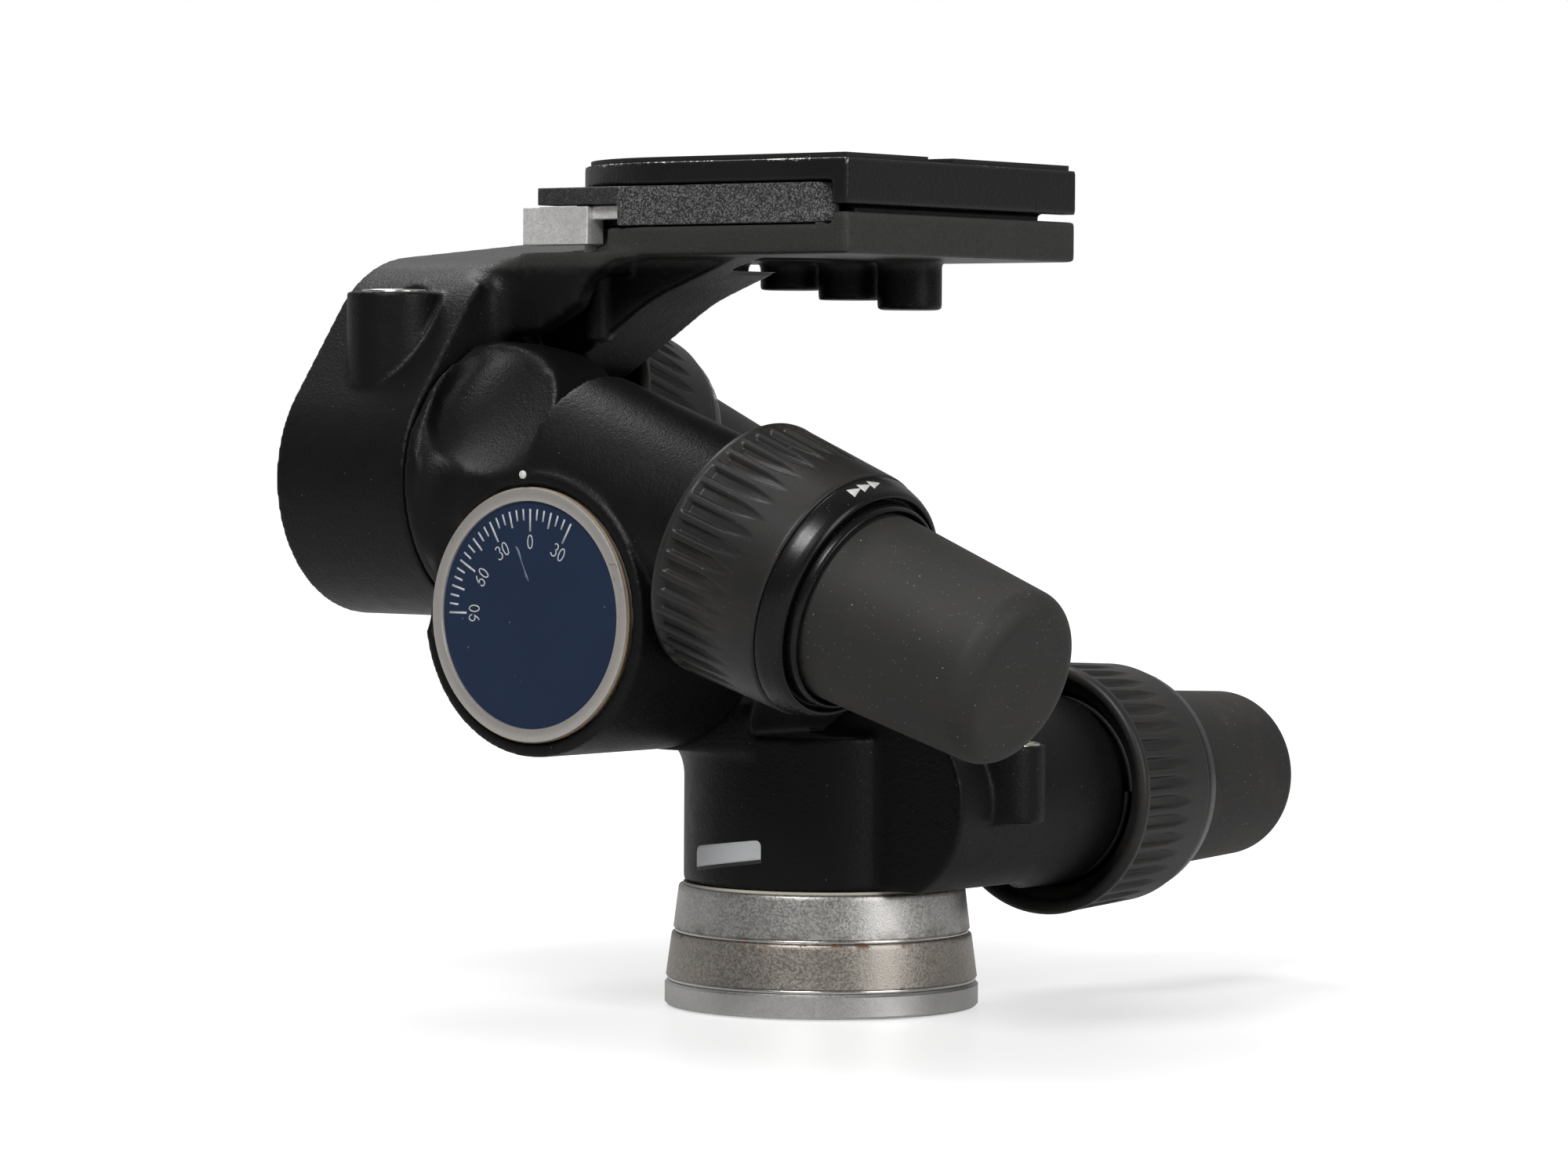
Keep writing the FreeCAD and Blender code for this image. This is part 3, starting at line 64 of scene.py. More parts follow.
def add_mesh(name, verts, faces, body, material, sharp=None):
    """A new mesh piece in the row frame, in metres, riding on a CAD body."""
    mesh = bpy.data.meshes.new(name)
    mesh.from_pydata([tuple(v) for v in verts], [], faces)
    mesh.validate()
    obj = bpy.data.objects.new(name, mesh)
    scene.collection.objects.link(obj)
    finish_mesh(obj, material, sharp)
    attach(obj, body)
    return obj


def finish_mesh(obj, material, sharp=None):
    """Close a mesh's seams, turn its faces outwards and give it its material."""
    mesh = obj.data
    bm = bmesh.new()
    bm.from_mesh(mesh)
    bmesh.ops.remove_doubles(bm, verts=bm.verts, dist=1e-7)
    bmesh.ops.recalc_face_normals(bm, faces=bm.faces)
    bm.to_mesh(mesh)
    bm.free()
    mesh.materials.clear()
    mesh.materials.append(material)
    for polygon in mesh.polygons:
        polygon.use_smooth = True
    if sharp is not None:
        mesh.set_sharp_from_angle(angle=math.radians(sharp))


def paint_node(node, material, sharp=32):
    """A CAD node keeps its shape and gets a finished material."""
    obj = NODES[node]
    obj.data.materials.clear()
    obj.data.materials.append(material)
    for polygon in obj.data.polygons:
        polygon.use_smooth = True
    obj.data.set_sharp_from_angle(angle=math.radians(sharp))


def frame_of(origin, axis):
    """Origin, axis and two side directions."""
    axis = Vector(axis).normalized()
    side = axis.cross(Vector((0, 0, 1)))
    if side.length < 0.2:
        side = Vector((1, 0, 0))
    side.normalize()
    return Vector(origin), axis, side, axis.cross(side)


def upright(x, y):
    """A place on the ground plane whose axis points up."""
    return Vector((x, y, 0)), Vector((0, 0, 1)), Vector((1, 0, 0)), Vector((0, 1, 0))


def in_metres(points):
    """Pairs in mm, in metres."""
    return [(r * MM, z * MM) for r, z in points]


def thicken(obj, thickness):
    """Give a printed mark a body, its thickness in mm."""
    solid = obj.modifiers.new("thick", "SOLIDIFY")
    solid.thickness = thickness * MM
    solid.offset = 0
    return obj


def reach(node, origin, axis):
    """The least and greatest distance of a node's points along an axis."""
    values = [(v.co - origin).dot(axis) for v in NODES[node].data.vertices]
    return min(values), max(values)


def rounded_profile(points, radius_of, steps):
    """Round the corners of a closed polyline of (r, z) pairs, by each corner's own radius."""
    out = []
    count = len(points)
    for index, point in enumerate(points):
        radius = radius_of.get(index, 0)
        here = Vector(point)
        before = Vector(points[(index - 1) % count])
        after = Vector(points[(index + 1) % count])
        if radius <= 0:
            out.append(tuple(here))
            continue
        one, two = (before - here), (after - here)
        reach_in = min(radius, one.length * 0.49, two.length * 0.49)
        start = here + one.normalized() * reach_in
        end = here + two.normalized() * reach_in
        for step in range(steps + 1):
            t = step / steps
            out.append(tuple(start * (1 - t) ** 2 + here * 2 * t * (1 - t) + end * t * t))
    return out


def lathe(name, where, profile, body, material, segments, sharp=None, shape=None):
    """A turned piece: profile is (radius, distance along the axis) in metres, closed on itself."""
    origin, axis, side, up = where
    verts, faces = [], []
    count = len(profile)
    for s in range(segments):
        angle = 2 * math.pi * s / segments
        way = side * math.cos(angle) + up * math.sin(angle)
        for index, (r, z) in enumerate(profile):
            if shape:
                r, z = shape(angle, r, z, index)
            verts.append(origin + axis * z + way * max(r, 0))
    for s in range(segments):
        a, b = s * count, ((s + 1) % segments) * count
        for i in range(count):
            j = (i + 1) % count
            if profile[i][0] <= 1e-9 and profile[j][0] <= 1e-9:
                continue
            if profile[i][0] <= 1e-9:
                faces.append((a + i, a + j, b + j))
            elif profile[j][0] <= 1e-9:
                faces.append((a + i, a + j, b + i))
            else:
                faces.append((a + i, a + j, b + j, b + i))
    return add_mesh(name, verts, faces, body, material, sharp)


# ------------------------------------------------------------------ materials

DUST = (0.35, 0.34, 0.32)
LINT = (0.42, 0.41, 0.39)
BARE_ALLOY = (0.42, 0.41, 0.39)
# painted sheen: the paler black that stands in for the broad highlight on the holder's sides
PAINTED_SHEEN_COLOUR = (0.042, 0.0415, 0.040)
BROWN_DIRT = (0.10, 0.07, 0.045)
GRIME = (0.15, 0.125, 0.095)
RUST = (0.16, 0.055, 0.015)


def scaled(colour, share):
    return tuple(c * share for c in colour)


class Nodes:
    """A short way to write a node tree. Scales are per metre: 1000 gives grains of about 1 mm."""

    def __init__(self, name):
        self.material = bpy.data.materials.new(name)
        self.material.use_nodes = True
        self.tree = self.material.node_tree
        self.shader = self.tree.nodes["Principled BSDF"]
        self.out = self.tree.nodes["Material Output"]
        self.where = self.tree.nodes.new("ShaderNodeTexCoord").outputs["Object"]

    def add(self, kind, links=None, **values):
        node = self.tree.nodes.new("ShaderNode" + kind)
        for key, value in values.items():
            setattr(node, key, value)
        for key, value in (links or {}).items():
            socket = node.inputs[key]
            if isinstance(value, bpy.types.NodeSocket):
                self.tree.links.new(value, socket)
            else:
                socket.default_value = value
        return node

    def set(self, socket, value):
        if isinstance(value, bpy.types.NodeSocket):
            self.tree.links.new(value, self.shader.inputs[socket])
        else:
            self.shader.inputs[socket].default_value = value

    def noise(self, scale, detail=2.0, rough=0.5):
        return self.add("TexNoise", {"Vector": self.where, "Scale": scale, "Detail": detail,
                                     "Roughness": rough, "Distortion": 0.0}).outputs["Fac"]

    def cells(self, scale):
        return self.add("TexVoronoi", {"Vector": self.where, "Scale": scale,
                                       "Randomness": 1.0}, feature="F1")

    def pick(self, cell):
        """A number of its own for each cell."""
        return self.add("SeparateColor", {"Color": cell.outputs["Color"]}).outputs[0]

    def ramp(self, value, stops):
        node = self.add("ValToRGB", {"Fac": value})
        marks = node.color_ramp.elements
        while len(marks) < len(stops):
            marks.new(0.5)
        for mark, (spot, colour) in zip(marks, stops):
            mark.position = spot
            if isinstance(colour, (int, float)):
                colour = (colour, colour, colour)
            mark.color = (*colour[:3], 1)
        return node.outputs["Color"]

    def maths(self, operation, a, b=0.0, c=None):
        links = {0: a, 1: b}
        if c is not None:
            links[2] = c
        return self.add("Math", links, operation=operation).outputs[0]

    def mix(self, share, a, b):
        """Colour a where share is 0, colour b where it is 1."""
        node = self.tree.nodes.new("ShaderNodeMix")
        node.data_type = "RGBA"
        factor, low, high = node.inputs["Factor"], node.inputs[6], node.inputs[7]
        for socket, value in ((factor, share), (low, a), (high, b)):
            if isinstance(value, bpy.types.NodeSocket):
                self.tree.links.new(value, socket)
            elif isinstance(value, tuple):
                socket.default_value = (*value[:3], 1)
            else:
                socket.default_value = value
        return node.outputs[2]

    def bump(self, height, strength, distance, under=None):
        links = {"Height": height, "Strength": strength, "Distance": distance}
        if under is not None:
            links["Normal"] = under
        return self.add("Bump", links).outputs["Normal"]

    def attribute(self, name):
        return self.add("Attribute", attribute_name=name).outputs["Fac"]


def specks(n, scale, size, share):
    """Small sparse dots of dust: 1 on a dot, 0 elsewhere."""
    cell = n.cells(scale)
    near = n.maths("LESS_THAN", cell.outputs["Distance"], size)
    chosen = n.maths("LESS_THAN", n.pick(cell), share)
    return n.maths("MULTIPLY", near, chosen)


def black_paint(name="black_paint", base=0.0050, dust=0.09, rough=0.42, spec=0.17):
    """Baked-on black paint over a casting: fine orange peel, dust, rubbed edges, and a painted sheen
    where the sheen mark is set.
    """
    n = Nodes(name)
    peel = n.noise(1250, 3, 0.62)
    grain_cells = n.cells(2300).outputs["Distance"]
    dark = (base * 0.8, base * 0.8, base * 0.82)
    light = (base * 1.35, base * 1.3, base * 1.3)
    colour = n.mix(n.noise(60, 3), dark, light)
    sheen_share = n.maths("MULTIPLY_ADD", n.noise(1900, 2), 0.9, 0.45)
    # painted sheen: a paler black mixed in where a casting carries the sheen mark, standing in for a
    # broad highlight
    colour = n.mix(n.maths("MULTIPLY", n.attribute("painted_sheen"), sheen_share), colour, PAINTED_SHEEN_COLOUR)
    dots = specks(n, 900, 0.085, dust)
    colour = n.mix(n.maths("MULTIPLY", dots, 0.45), colour, DUST)
    rough_map = n.maths("MULTIPLY_ADD", n.noise(300, 2), 0.16, rough - 0.08)
    broken = n.maths("MULTIPLY_ADD", n.noise(900, 4, 0.7), 1.5, -0.86)
    patch = n.maths("MULTIPLY_ADD", n.noise(70, 3), 1.6, -0.75)
    mask = n.maths("ADD", n.maths("ADD", n.attribute("wear"), broken), patch)
    mask = n.ramp(mask, ((0.66, 0.0), (0.78, 1.0)))
    n.set("Base Color", n.mix(mask, colour, BARE_ALLOY))
    n.set("Metallic", n.maths("MULTIPLY", mask, 0.85))
    n.set("Roughness", n.maths("ADD", rough_map, n.maths("MULTIPLY", mask, -0.08)))
    n.set("Specular IOR Level", spec)
    n.set("Normal", n.bump(grain_cells, 0.34, 0.00010, n.bump(peel, 0.42, 0.00022)))
    return n.material


def lever_black():
    """The lever's coarser, glittering black finish."""
    n = Nodes("lever_black")
    cell = n.cells(4300)
    glint = n.ramp(n.pick(cell), ((0.45, 0.0), (0.95, 1.0)))
    sparkle = n.maths("MULTIPLY", glint, n.attribute("wear"))
    black, grey = (0.022, 0.022, 0.023), (0.26, 0.26, 0.265)
    n.set("Base Color", n.mix(n.maths("MULTIPLY", sparkle, 0.75), black, grey))
    n.set("Roughness", n.maths("MULTIPLY_ADD", n.noise(5200, 2), 0.2, 0.33))
    n.set("Specular IOR Level", 0.4)
    n.set("Normal", n.bump(cell.outputs["Distance"], 0.45, 0.00007))
    return n.material


def blasted_silver(name, tint, rust=0.0, sparkle=0.45, grime=0.0, metal=0.92):
    """Bead-blasted alloy with fine glitter, grime near its lower edge and rust spots."""
    n = Nodes(name)
    cell = n.cells(3000)
    glitter = n.pick(cell)
    light = tuple(min(1, c * (1 + sparkle * 0.35)) for c in tint)
    colour = n.mix(glitter, scaled(tint, 1 - sparkle * 0.6), light)
    cloud = n.ramp(n.noise(55, 4, 0.6), ((0.45, 0.0), (0.75, 0.55)))
    colour = n.mix(cloud, colour, scaled(tint, 0.62))
    rough_map = n.maths("MULTIPLY_ADD", glitter, 0.12, 0.36)
    if grime:
        dirt = n.ramp(n.noise(210, 4, 0.7), ((0.46, 0.0), (0.62, 1.0)))
        dirt = n.maths("MULTIPLY", dirt, n.attribute("groove"))
        colour = n.mix(n.maths("MULTIPLY", dirt, grime), colour, GRIME)
    if rust:
        spots = n.ramp(n.noise(330, 4, 0.65), ((0.56, 0.0), (0.62, 1.0)))
        grouped = n.ramp(n.noise(45, 2), ((0.50, 0.0), (0.56, 1.0)))
        mask = n.maths("MULTIPLY", n.maths("MULTIPLY", spots, grouped), n.attribute("groove"))
        mask = n.maths("MULTIPLY", mask, rust)
        colour = n.mix(mask, colour, RUST)
        n.set("Metallic", n.maths("SUBTRACT", metal, n.maths("MULTIPLY", mask, 0.9)))
        n.set("Roughness", n.maths("ADD", rough_map, n.maths("MULTIPLY", mask, 0.4)))
    else:
        n.set("Metallic", metal)
        n.set("Roughness", rough_map)
    n.set("Base Color", colour)
    n.set("Normal", n.bump(cell.outputs["Distance"], 0.35, 0.00005))
    return n.material


def turned_steel(name, tint, rough):
    """Bare turned or ground metal with fine marks."""
    n = Nodes(name)
    marks = n.noise(900.0, 3, 0.6)
    blotch = n.ramp(n.noise(90, 3), ((0.35, 0.0), (0.75, 1.0)))
    n.set("Base Color", n.mix(blotch, tint, scaled(tint, 0.78)))
    n.set("Metallic", 1.0)
    n.set("Roughness", n.maths("MULTIPLY_ADD", marks, 0.18, rough - 0.05))
    n.set("Normal", n.bump(marks, 0.15, 0.00004))
    return n.material


def moulded(name, base, rough=0.45, grain=0.2, scale=2600, dust=0.0, dust_scale=600, brown=0.0,
            spec=0.5):
    """Moulded plastic or rubber with a fine grain, dust and faint smudges."""
    n = Nodes(name)
    fine = n.noise(scale, 3, 0.6)
    colour = n.mix(n.noise(38, 4, 0.55), scaled(base, 0.8), scaled(base, 1.25))
    if brown:
        patch = n.ramp(n.noise(70, 3, 0.6), ((0.48, 0.0), (0.72, brown)))
        colour = n.mix(patch, colour, BROWN_DIRT)
    if dust:
        dots = n.maths("MULTIPLY", specks(n, dust_scale, 0.11, dust), 0.45)
        lint = n.maths("MULTIPLY", specks(n, dust_scale * 2.3, 0.18, dust), 0.25)
        colour = n.mix(n.maths("MAXIMUM", dots, lint), colour, LINT)
    n.set("Base Color", colour)
    n.set("Roughness", n.maths("MULTIPLY_ADD", fine, 0.14, rough - 0.07))
    n.set("Specular IOR Level", spec)
    n.set("Normal", n.bump(fine, grain, 0.00008))
    return n.material


def flat_ink(name, colour, rough):
    """Printed ink with a little unevenness."""
    n = Nodes(name)
    fine = n.noise(1500, 2)
    n.set("Base Color", n.mix(fine, scaled(colour, 0.9), colour))
    n.set("Roughness", n.maths("MULTIPLY_ADD", fine, 0.1, rough - 0.05))
    return n.material


def dial_paint():
    """Dark blue lacquer with a few specks of dust."""
    n = Nodes("dial_paint")
    blue = (0.0125, 0.0245, 0.058)
    colour = n.mix(n.noise(90, 3), scaled(blue, 0.9), scaled(blue, 1.12))
    dots = specks(n, 700, 0.12, 0.05)
    colour = n.mix(n.maths("MULTIPLY", dots, 0.3), colour, (0.4, 0.42, 0.45))
    n.set("Base Color", colour)
    n.set("Roughness", n.maths("MULTIPLY_ADD", n.noise(500, 2), 0.1, 0.40))
    n.set("Specular IOR Level", 0.25)
    n.set("Normal", n.bump(n.noise(1800, 2), 0.05, 0.00004))
    return n.material


def bezel_metal():
    """Satin nickel with faint brown stains."""
    n = Nodes("bezel_metal")
    cloud = n.noise(160, 4, 0.6)
    fine = n.noise(2400, 3)
    colour = n.mix(fine, (0.50, 0.475, 0.445), (0.58, 0.55, 0.52))
    stain = n.ramp(cloud, ((0.66, 0.0), (0.76, 0.5)))
    colour = n.mix(stain, colour, (0.32, 0.26, 0.20))
    n.set("Base Color", colour)
    n.set("Metallic", 0.75)
    n.set("Roughness", n.maths("MULTIPLY_ADD", fine, 0.12, 0.38))
    n.set("Normal", n.bump(fine, 0.12, 0.00004))
    return n.material


def vial_liquid():
    """The yellow-green of a bubble level, under a clear top, with a faint painted glow."""
    n = Nodes("vial_liquid")
    cloud = n.noise(220, 2)
    n.set("Base Color", n.mix(cloud, (0.46, 0.62, 0.10), (0.60, 0.74, 0.18)))
    n.set("Roughness", n.maths("MULTIPLY_ADD", n.noise(900, 2), 0.03, 0.04))
    n.set("Coat Weight", 1.0)
    n.set("Coat Roughness", 0.03)
    # painted glow: the liquid gives off a little light of its own, though it is no lamp
    n.set("Emission Color", (0.5, 0.65, 0.12, 1))
    n.set("Emission Strength", 0.06)
    return n.material


def grease():
    """Old brown grease and dirt."""
    n = Nodes("grease")
    cloud = n.noise(420, 4, 0.65)
    n.set("Base Color", n.mix(cloud, (0.22, 0.15, 0.085), (0.42, 0.31, 0.19)))
    n.set("Roughness", n.maths("MULTIPLY_ADD", cloud, 0.2, 0.35))
    n.set("Normal", n.bump(cloud, 0.4, 0.0002))
    return n.material


PAINT = black_paint()
PLATE_PAINT = black_paint("plate_paint", base=0.008, rough=0.36, dust=0.04, spec=0.26)
LEVER = lever_black()
COLLAR = moulded("collar_plastic", (0.019, 0.0185, 0.018), 0.42, 0.22, 2400, dust=0.03,
                 dust_scale=900, brown=0.10, spec=0.3)
RING = moulded("ring_plastic", (0.006, 0.006, 0.0064), 0.27, 0.12, 2000, dust=0.05,
               dust_scale=900, spec=0.26)
RUBBER = moulded("grip_rubber", (0.027, 0.0262, 0.0252), 0.60, 0.25, 3000, dust=0.13,
                 dust_scale=760, brown=0.08, spec=0.3)
WORN_RUBBER = moulded("grip_rubber_worn", (0.022, 0.0215, 0.0205), 0.60, 0.25, 3000, dust=0.13,
                      dust_scale=760, brown=0.28, spec=0.3)
CORE = moulded("core_plastic", (0.02, 0.02, 0.02), 0.5, 0.2)
PAD = moulded("pad_rubber", (0.012, 0.012, 0.012), 0.6, 0.5, 1500, dust=0.1, spec=0.35)
BEARING = moulded("bearing_plastic", (0.62, 0.58, 0.48), 0.45, 0.1)
SILVER_TOP = blasted_silver("silver_top", (0.52, 0.505, 0.485), grime=0.55)
SILVER_MID = blasted_silver("silver_mid", (0.40, 0.365, 0.325), rust=1.0, sparkle=0.55)
SILVER_FOOT = blasted_silver("silver_foot", (0.60, 0.595, 0.58), rust=1.0, sparkle=0.15)
BRIGHT = turned_steel("bright_band", (0.72, 0.71, 0.69), 0.2)
STEEL = turned_steel("steel", (0.56, 0.55, 0.53), 0.3)
BRONZE = turned_steel("bronze", (0.60, 0.40, 0.17), 0.34)
CATCH = blasted_silver("catch_alloy", (0.88, 0.87, 0.85), sparkle=0.25, metal=0.55)
BEZEL = bezel_metal()
DIAL = dial_paint()
INK = flat_ink("dial_ink", (0.62, 0.64, 0.66), 0.5)
WHITE = flat_ink("white_ink", (0.72, 0.71, 0.68), 0.55)
LABEL = flat_ink("label_paper", (0.70, 0.71, 0.72), 0.45)
DARK_INK = flat_ink("level_ink", (0.02, 0.02, 0.02), 0.4)
SCRATCH = flat_ink("scratch", (0.16, 0.19, 0.26), 0.5)
LIQUID = vial_liquid()
GREASE = grease()


# ------------------------------------------------------------------ castings

def points_of(mesh):
    co = np.empty(len(mesh.vertices) * 3)
    mesh.vertices.foreach_get("co", co)
    return co.reshape(-1, 3)


def edges_of(mesh):
    edges = np.empty(len(mesh.edges) * 2, dtype=np.int64)
    mesh.edges.foreach_get("vertices", edges)
    return edges.reshape(-1, 2)


def ease(t):
    """A soft step from 0 to 1, for an array."""
    t = np.clip(t, 0, 1)
    return t * t * (3 - 2 * t)


def wear_of(mesh, scale):
    """How strongly each vertex sits on an outside edge, from 0 to 1."""
    count = len(mesh.vertices)
    co = points_of(mesh)
    normal = np.empty(count * 3)
    mesh.vertices.foreach_get("normal", normal)
    normal = normal.reshape(-1, 3)
    a, b = edges_of(mesh).T
    bend = np.zeros(count)
    degree = np.zeros(count)
    way = co[b] - co[a]
    size = np.maximum(np.linalg.norm(way, axis=1), 1e-9)
    lift = ((normal[b] - normal[a]) * way).sum(1) / size ** 2
    for end in (a, b):
        np.add.at(bend, end, lift)
        np.add.at(degree, end, 1)
    bend /= np.maximum(degree, 1)
    for _ in range(2):
        total = np.zeros(count)
        np.add.at(total, a, bend[b])
        np.add.at(total, b, bend[a])
        bend = 0.5 * bend + 0.5 * total / np.maximum(degree, 1)
    return np.clip(bend * scale, 0, 1)


def soften_mesh(mesh, spots):
    """Round a casting further at spots of (point, reach, rounds), in mm."""
    co = points_of(mesh)
    edges = edges_of(mesh)
    for point, reach_mm, rounds in spots:
        away = np.linalg.norm(co - np.array(point) * MM, axis=1) / (reach_mm * MM)
        chosen = np.nonzero(away < 1)[0]
        if not len(chosen):
            continue
        inside = np.zeros(len(co), bool)
        inside[chosen] = True
        near = edges[inside[edges[:, 0]] | inside[edges[:, 1]]]
        a, b = near.T
        used = np.unique(near)
        index = np.full(len(co), -1)
        index[used] = np.arange(len(used))
        a, b = index[a], index[b]
        local = co[used]
        share = ease((1 - away[used]) / 0.35)[:, None] * 0.5
        degree = np.bincount(a, minlength=len(used)) + np.bincount(b, minlength=len(used))
        degree = np.maximum(degree, 1)[:, None]
        for _ in range(rounds):
            total = np.zeros_like(local)
            for axis in range(3):
                total[:, axis] = (np.bincount(a, local[b, axis], len(used))
                                  + np.bincount(b, local[a, axis], len(used)))
            local = local + (total / degree - local) * share
        co[used] = local
    mesh.vertices.foreach_set("co", co.ravel())
    mesh.update()


def modify(obj, kind, **values):
    """Add one modifier."""
    step = obj.modifiers.new(kind, kind)
    for key, value in values.items():
        setattr(step, key, value)


def bake_modifiers(obj):
    """Make the object's mesh what its modifiers show."""
    graph = bpy.context.evaluated_depsgraph_get()
    mesh = bpy.data.meshes.new_from_object(obj.evaluated_get(graph))
    obj.modifiers.clear()
    obj.data = mesh
    return mesh


WEAR_SCALE = 0.0011


def casting(node, name, body, material, voxel, rounds, faces=150_000, extra_wear=None, soften=(),
            worn=None, painted_sheen=None):
    """A soft-edged copy of a CAD solid: its corners rounded as a casting's are."""
    obj = bpy.data.objects.new(name, NODES[node].data.copy())
    scene.collection.objects.link(obj)
    obj.data.materials.clear()
    modify(obj, "REMESH", mode="VOXEL", voxel_size=voxel * MM, adaptivity=0.0)
    modify(obj, "SMOOTH", factor=0.5, iterations=rounds)
    modify(obj, "TRIANGULATE")
    mesh = bake_modifiers(obj)
    total = len(mesh.polygons)
    if total > faces:
        modify(obj, "DECIMATE", ratio=faces / total)
        mesh = bake_modifiers(obj)
    mesh.materials.clear()
    mesh.materials.append(material)
    for polygon in mesh.polygons:
        polygon.use_smooth = True
    if soften:
        soften_mesh(mesh, soften)
    wear = wear_of(mesh, WEAR_SCALE)
    co = points_of(mesh)
    wear = wear * (worn(co) if worn else 0.0)
    if extra_wear:
        wear = np.clip(wear + extra_wear(co), 0, 1)
    # painted sheen: how much of the paler black each point gets, standing in for a broad highlight
    sheen_share = painted_sheen(co) if painted_sheen else np.zeros(len(co))
    for title, values in (("wear", wear), ("painted_sheen", sheen_share)):
        marked = mesh.attributes.new(title, "FLOAT", "POINT")
        marked.data.foreach_set("value", values.astype(np.float32))
    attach(obj, body)
    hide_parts(node)
    return obj


PLATE_LOW, PLATE_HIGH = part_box("camera_plate")
CORNER_WEAR_Z = 0.1425
HOLDER_WEAR_Z = 0.1405
# the height above which the holder's painted sheen starts
HOLDER_SHEEN_Z = 0.1395
HOLDER_WEAR_X = -0.03
LEVER_TIP_X = -0.0215


def plate_corner(co):
    """The plate's and the holder's front right corner is rubbed bare."""
    away = np.hypot(co[:, 0] - PLATE_HIGH.x, co[:, 1] - PLATE_LOW.y)
    return 0.30 * ease(1 - away / 0.0022) * (co[:, 2] > CORNER_WEAR_Z)


def plate_edges(co):
    """Wear on the plate is strongest along its top edge."""
    top = ease((co[:, 2] - (PLATE_HIGH.z - 0.0022)) / 0.0008)
    return 0.25 + 0.45 * top


def holder_edges(co):
    """Wear on the bracket keeps to the holder."""
    above = ease((co[:, 2] - HOLDER_WEAR_Z) / 0.001)
    return 0.55 * above * ease((co[:, 0] - HOLDER_WEAR_X) / 0.01)


def holder_painted_sheen(co):
    """Painted sheen: the holder's sides are painted paler than the castings below, standing in for a
    broad highlight on them.
    """
    return ease((co[:, 2] - HOLDER_SHEEN_Z) / 0.0015)


def lever_grain(co):
    """The lever's body glitters, its thin tip is plain."""
    return 0.25 + 0.75 * ease((co[:, 0] - LEVER_TIP_X) / 0.002)


# where the moulds had soft radii, in mm: the rim of the mid body's dish, the edge below it, the
# edge where the bracket's shoulder turns into its skirt, and the skirt's curved lower edge
DISH_RIM = [(-46, -61.4, 115), (-47.5, -56.8, 120.1), (-47, -53, 122.6), (-45.9, -50.5, 124),
            (-43.4, -45.6, 125.6), (-40.5, -42.1, 125.4), (-34.2, -41.7, 122.8),
            (-44.5, -63.5, 111.4), (-43.7, -63.4, 107.4), (-41.6, -63.5, 104.3),
            (-37.8, -63.4, 101.9), (-32, -63.4, 100.7), (-27, -63.5, 101.2), (-23, -63.5, 103.3),
            (-22.9, -60.9, 106.4)]
DISH_EDGE = [(-41.6, -63.5, z) for z in range(76, 101, 4)]
SKIRT_CORNER = [(-48.9, -38.4, z) for z in range(128, 143, 4)]
SKIRT_EDGE = [(-40, -38.4, 127.6), (-35, -38.4, 129.8), (-30.4, -38.4, 132.4), (-28, -38.4, 137),
              (-25, -38.4, 139), (-22.6, -38.4, 140.6)]
MID_SOFT = [(point, 4.5, 22) for point in DISH_RIM] + [(point, 5.5, 60) for point in DISH_EDGE]
SKIRT_SOFT = [(point, 6.0, 60) for point in SKIRT_CORNER]
SKIRT_SOFT += [(point, 4.5, 30) for point in SKIRT_EDGE]

casting("pan_housing", "pan_casting", "pan_housing_body", PAINT, 0.6, 8)
casting("mid_body", "mid_casting", "roll_body", PAINT, 0.55, 8, soften=MID_SOFT)
# the holder on the bracket carries a painted sheen, a paler black standing in for a broad highlight
casting("bracket", "bracket_casting", "tilt_body", PAINT, 0.55, 6, 170_000, plate_corner,
        soften=SKIRT_SOFT, worn=holder_edges, painted_sheen=holder_painted_sheen)
casting("camera_plate", "plate_casting", "plate", PLATE_PAINT, 0.42, 3, 150_000, plate_corner,
        worn=plate_edges)
casting("lock_lever", "lever_casting", "lever", LEVER, 0.25, 4, 60_000, lever_grain)
catch_cast = casting("safety_catch", "catch_casting", "catch", CATCH, 0.22, 6, 40_000)


# ------------------------------------------------------------------ knobs

# profiles in mm: the collar's rear and front rims and its inside, and the glossy ring before it
COLLAR_REAR, COLLAR_FRONT = 24.6, 23.5
REAR_RIM = [(22.1, 0.95), (22.4, 0.45), (22.8, 0.13), (23.3, 0.0), (23.8, 0.08), (24.25, 0.36),
            (24.52, 0.8), (COLLAR_REAR, 1.3)]
FRONT_RIM = [(0.0, -0.45), (-0.12, -0.18), (-0.34, -0.04), (-0.8, 0.0)]
BORE = 19.4
BORE_MOUTH = [(BORE, 3.3), (21.4, 3.2), (22.0, 2.4)]
COLLAR_ROWS = 44
FLUTES = 40
FLUTE_STEPS = 14
FLUTE_DEPTH = 1.15
FLUTE_START, FLUTE_ENTRY = 2.2, 0.30
FLUTE_END, FLUTE_FADE = 18.5, 13.0
NARROW_END, NARROW_RUN = 19.0, 9.0
RING_BAND = [(23.15, 0.3), (22.95, 1.5), (22.4, 3.5), (21.9, 4.6), (21.4, 5.1)]
RING_BEAD = [(20.9, 5.15), (20.55, 4.8), (20.35, 4.1), (20.15, 3.6), (19.95, 3.6), (19.8, 4.0),
             (19.7, 5.2), (19.6, 6.1), (19.3, 6.65), (18.95, 6.75), (18.65, 6.4), (18.55, 5.9),
             (18.55, 1.7), (6.0, 1.7)]
GRIP_REAR, GRIP_FRONT = 18.2, 16.4
GRIP_CHAMFER = 0.3
GRIP_EDGE = 4.6


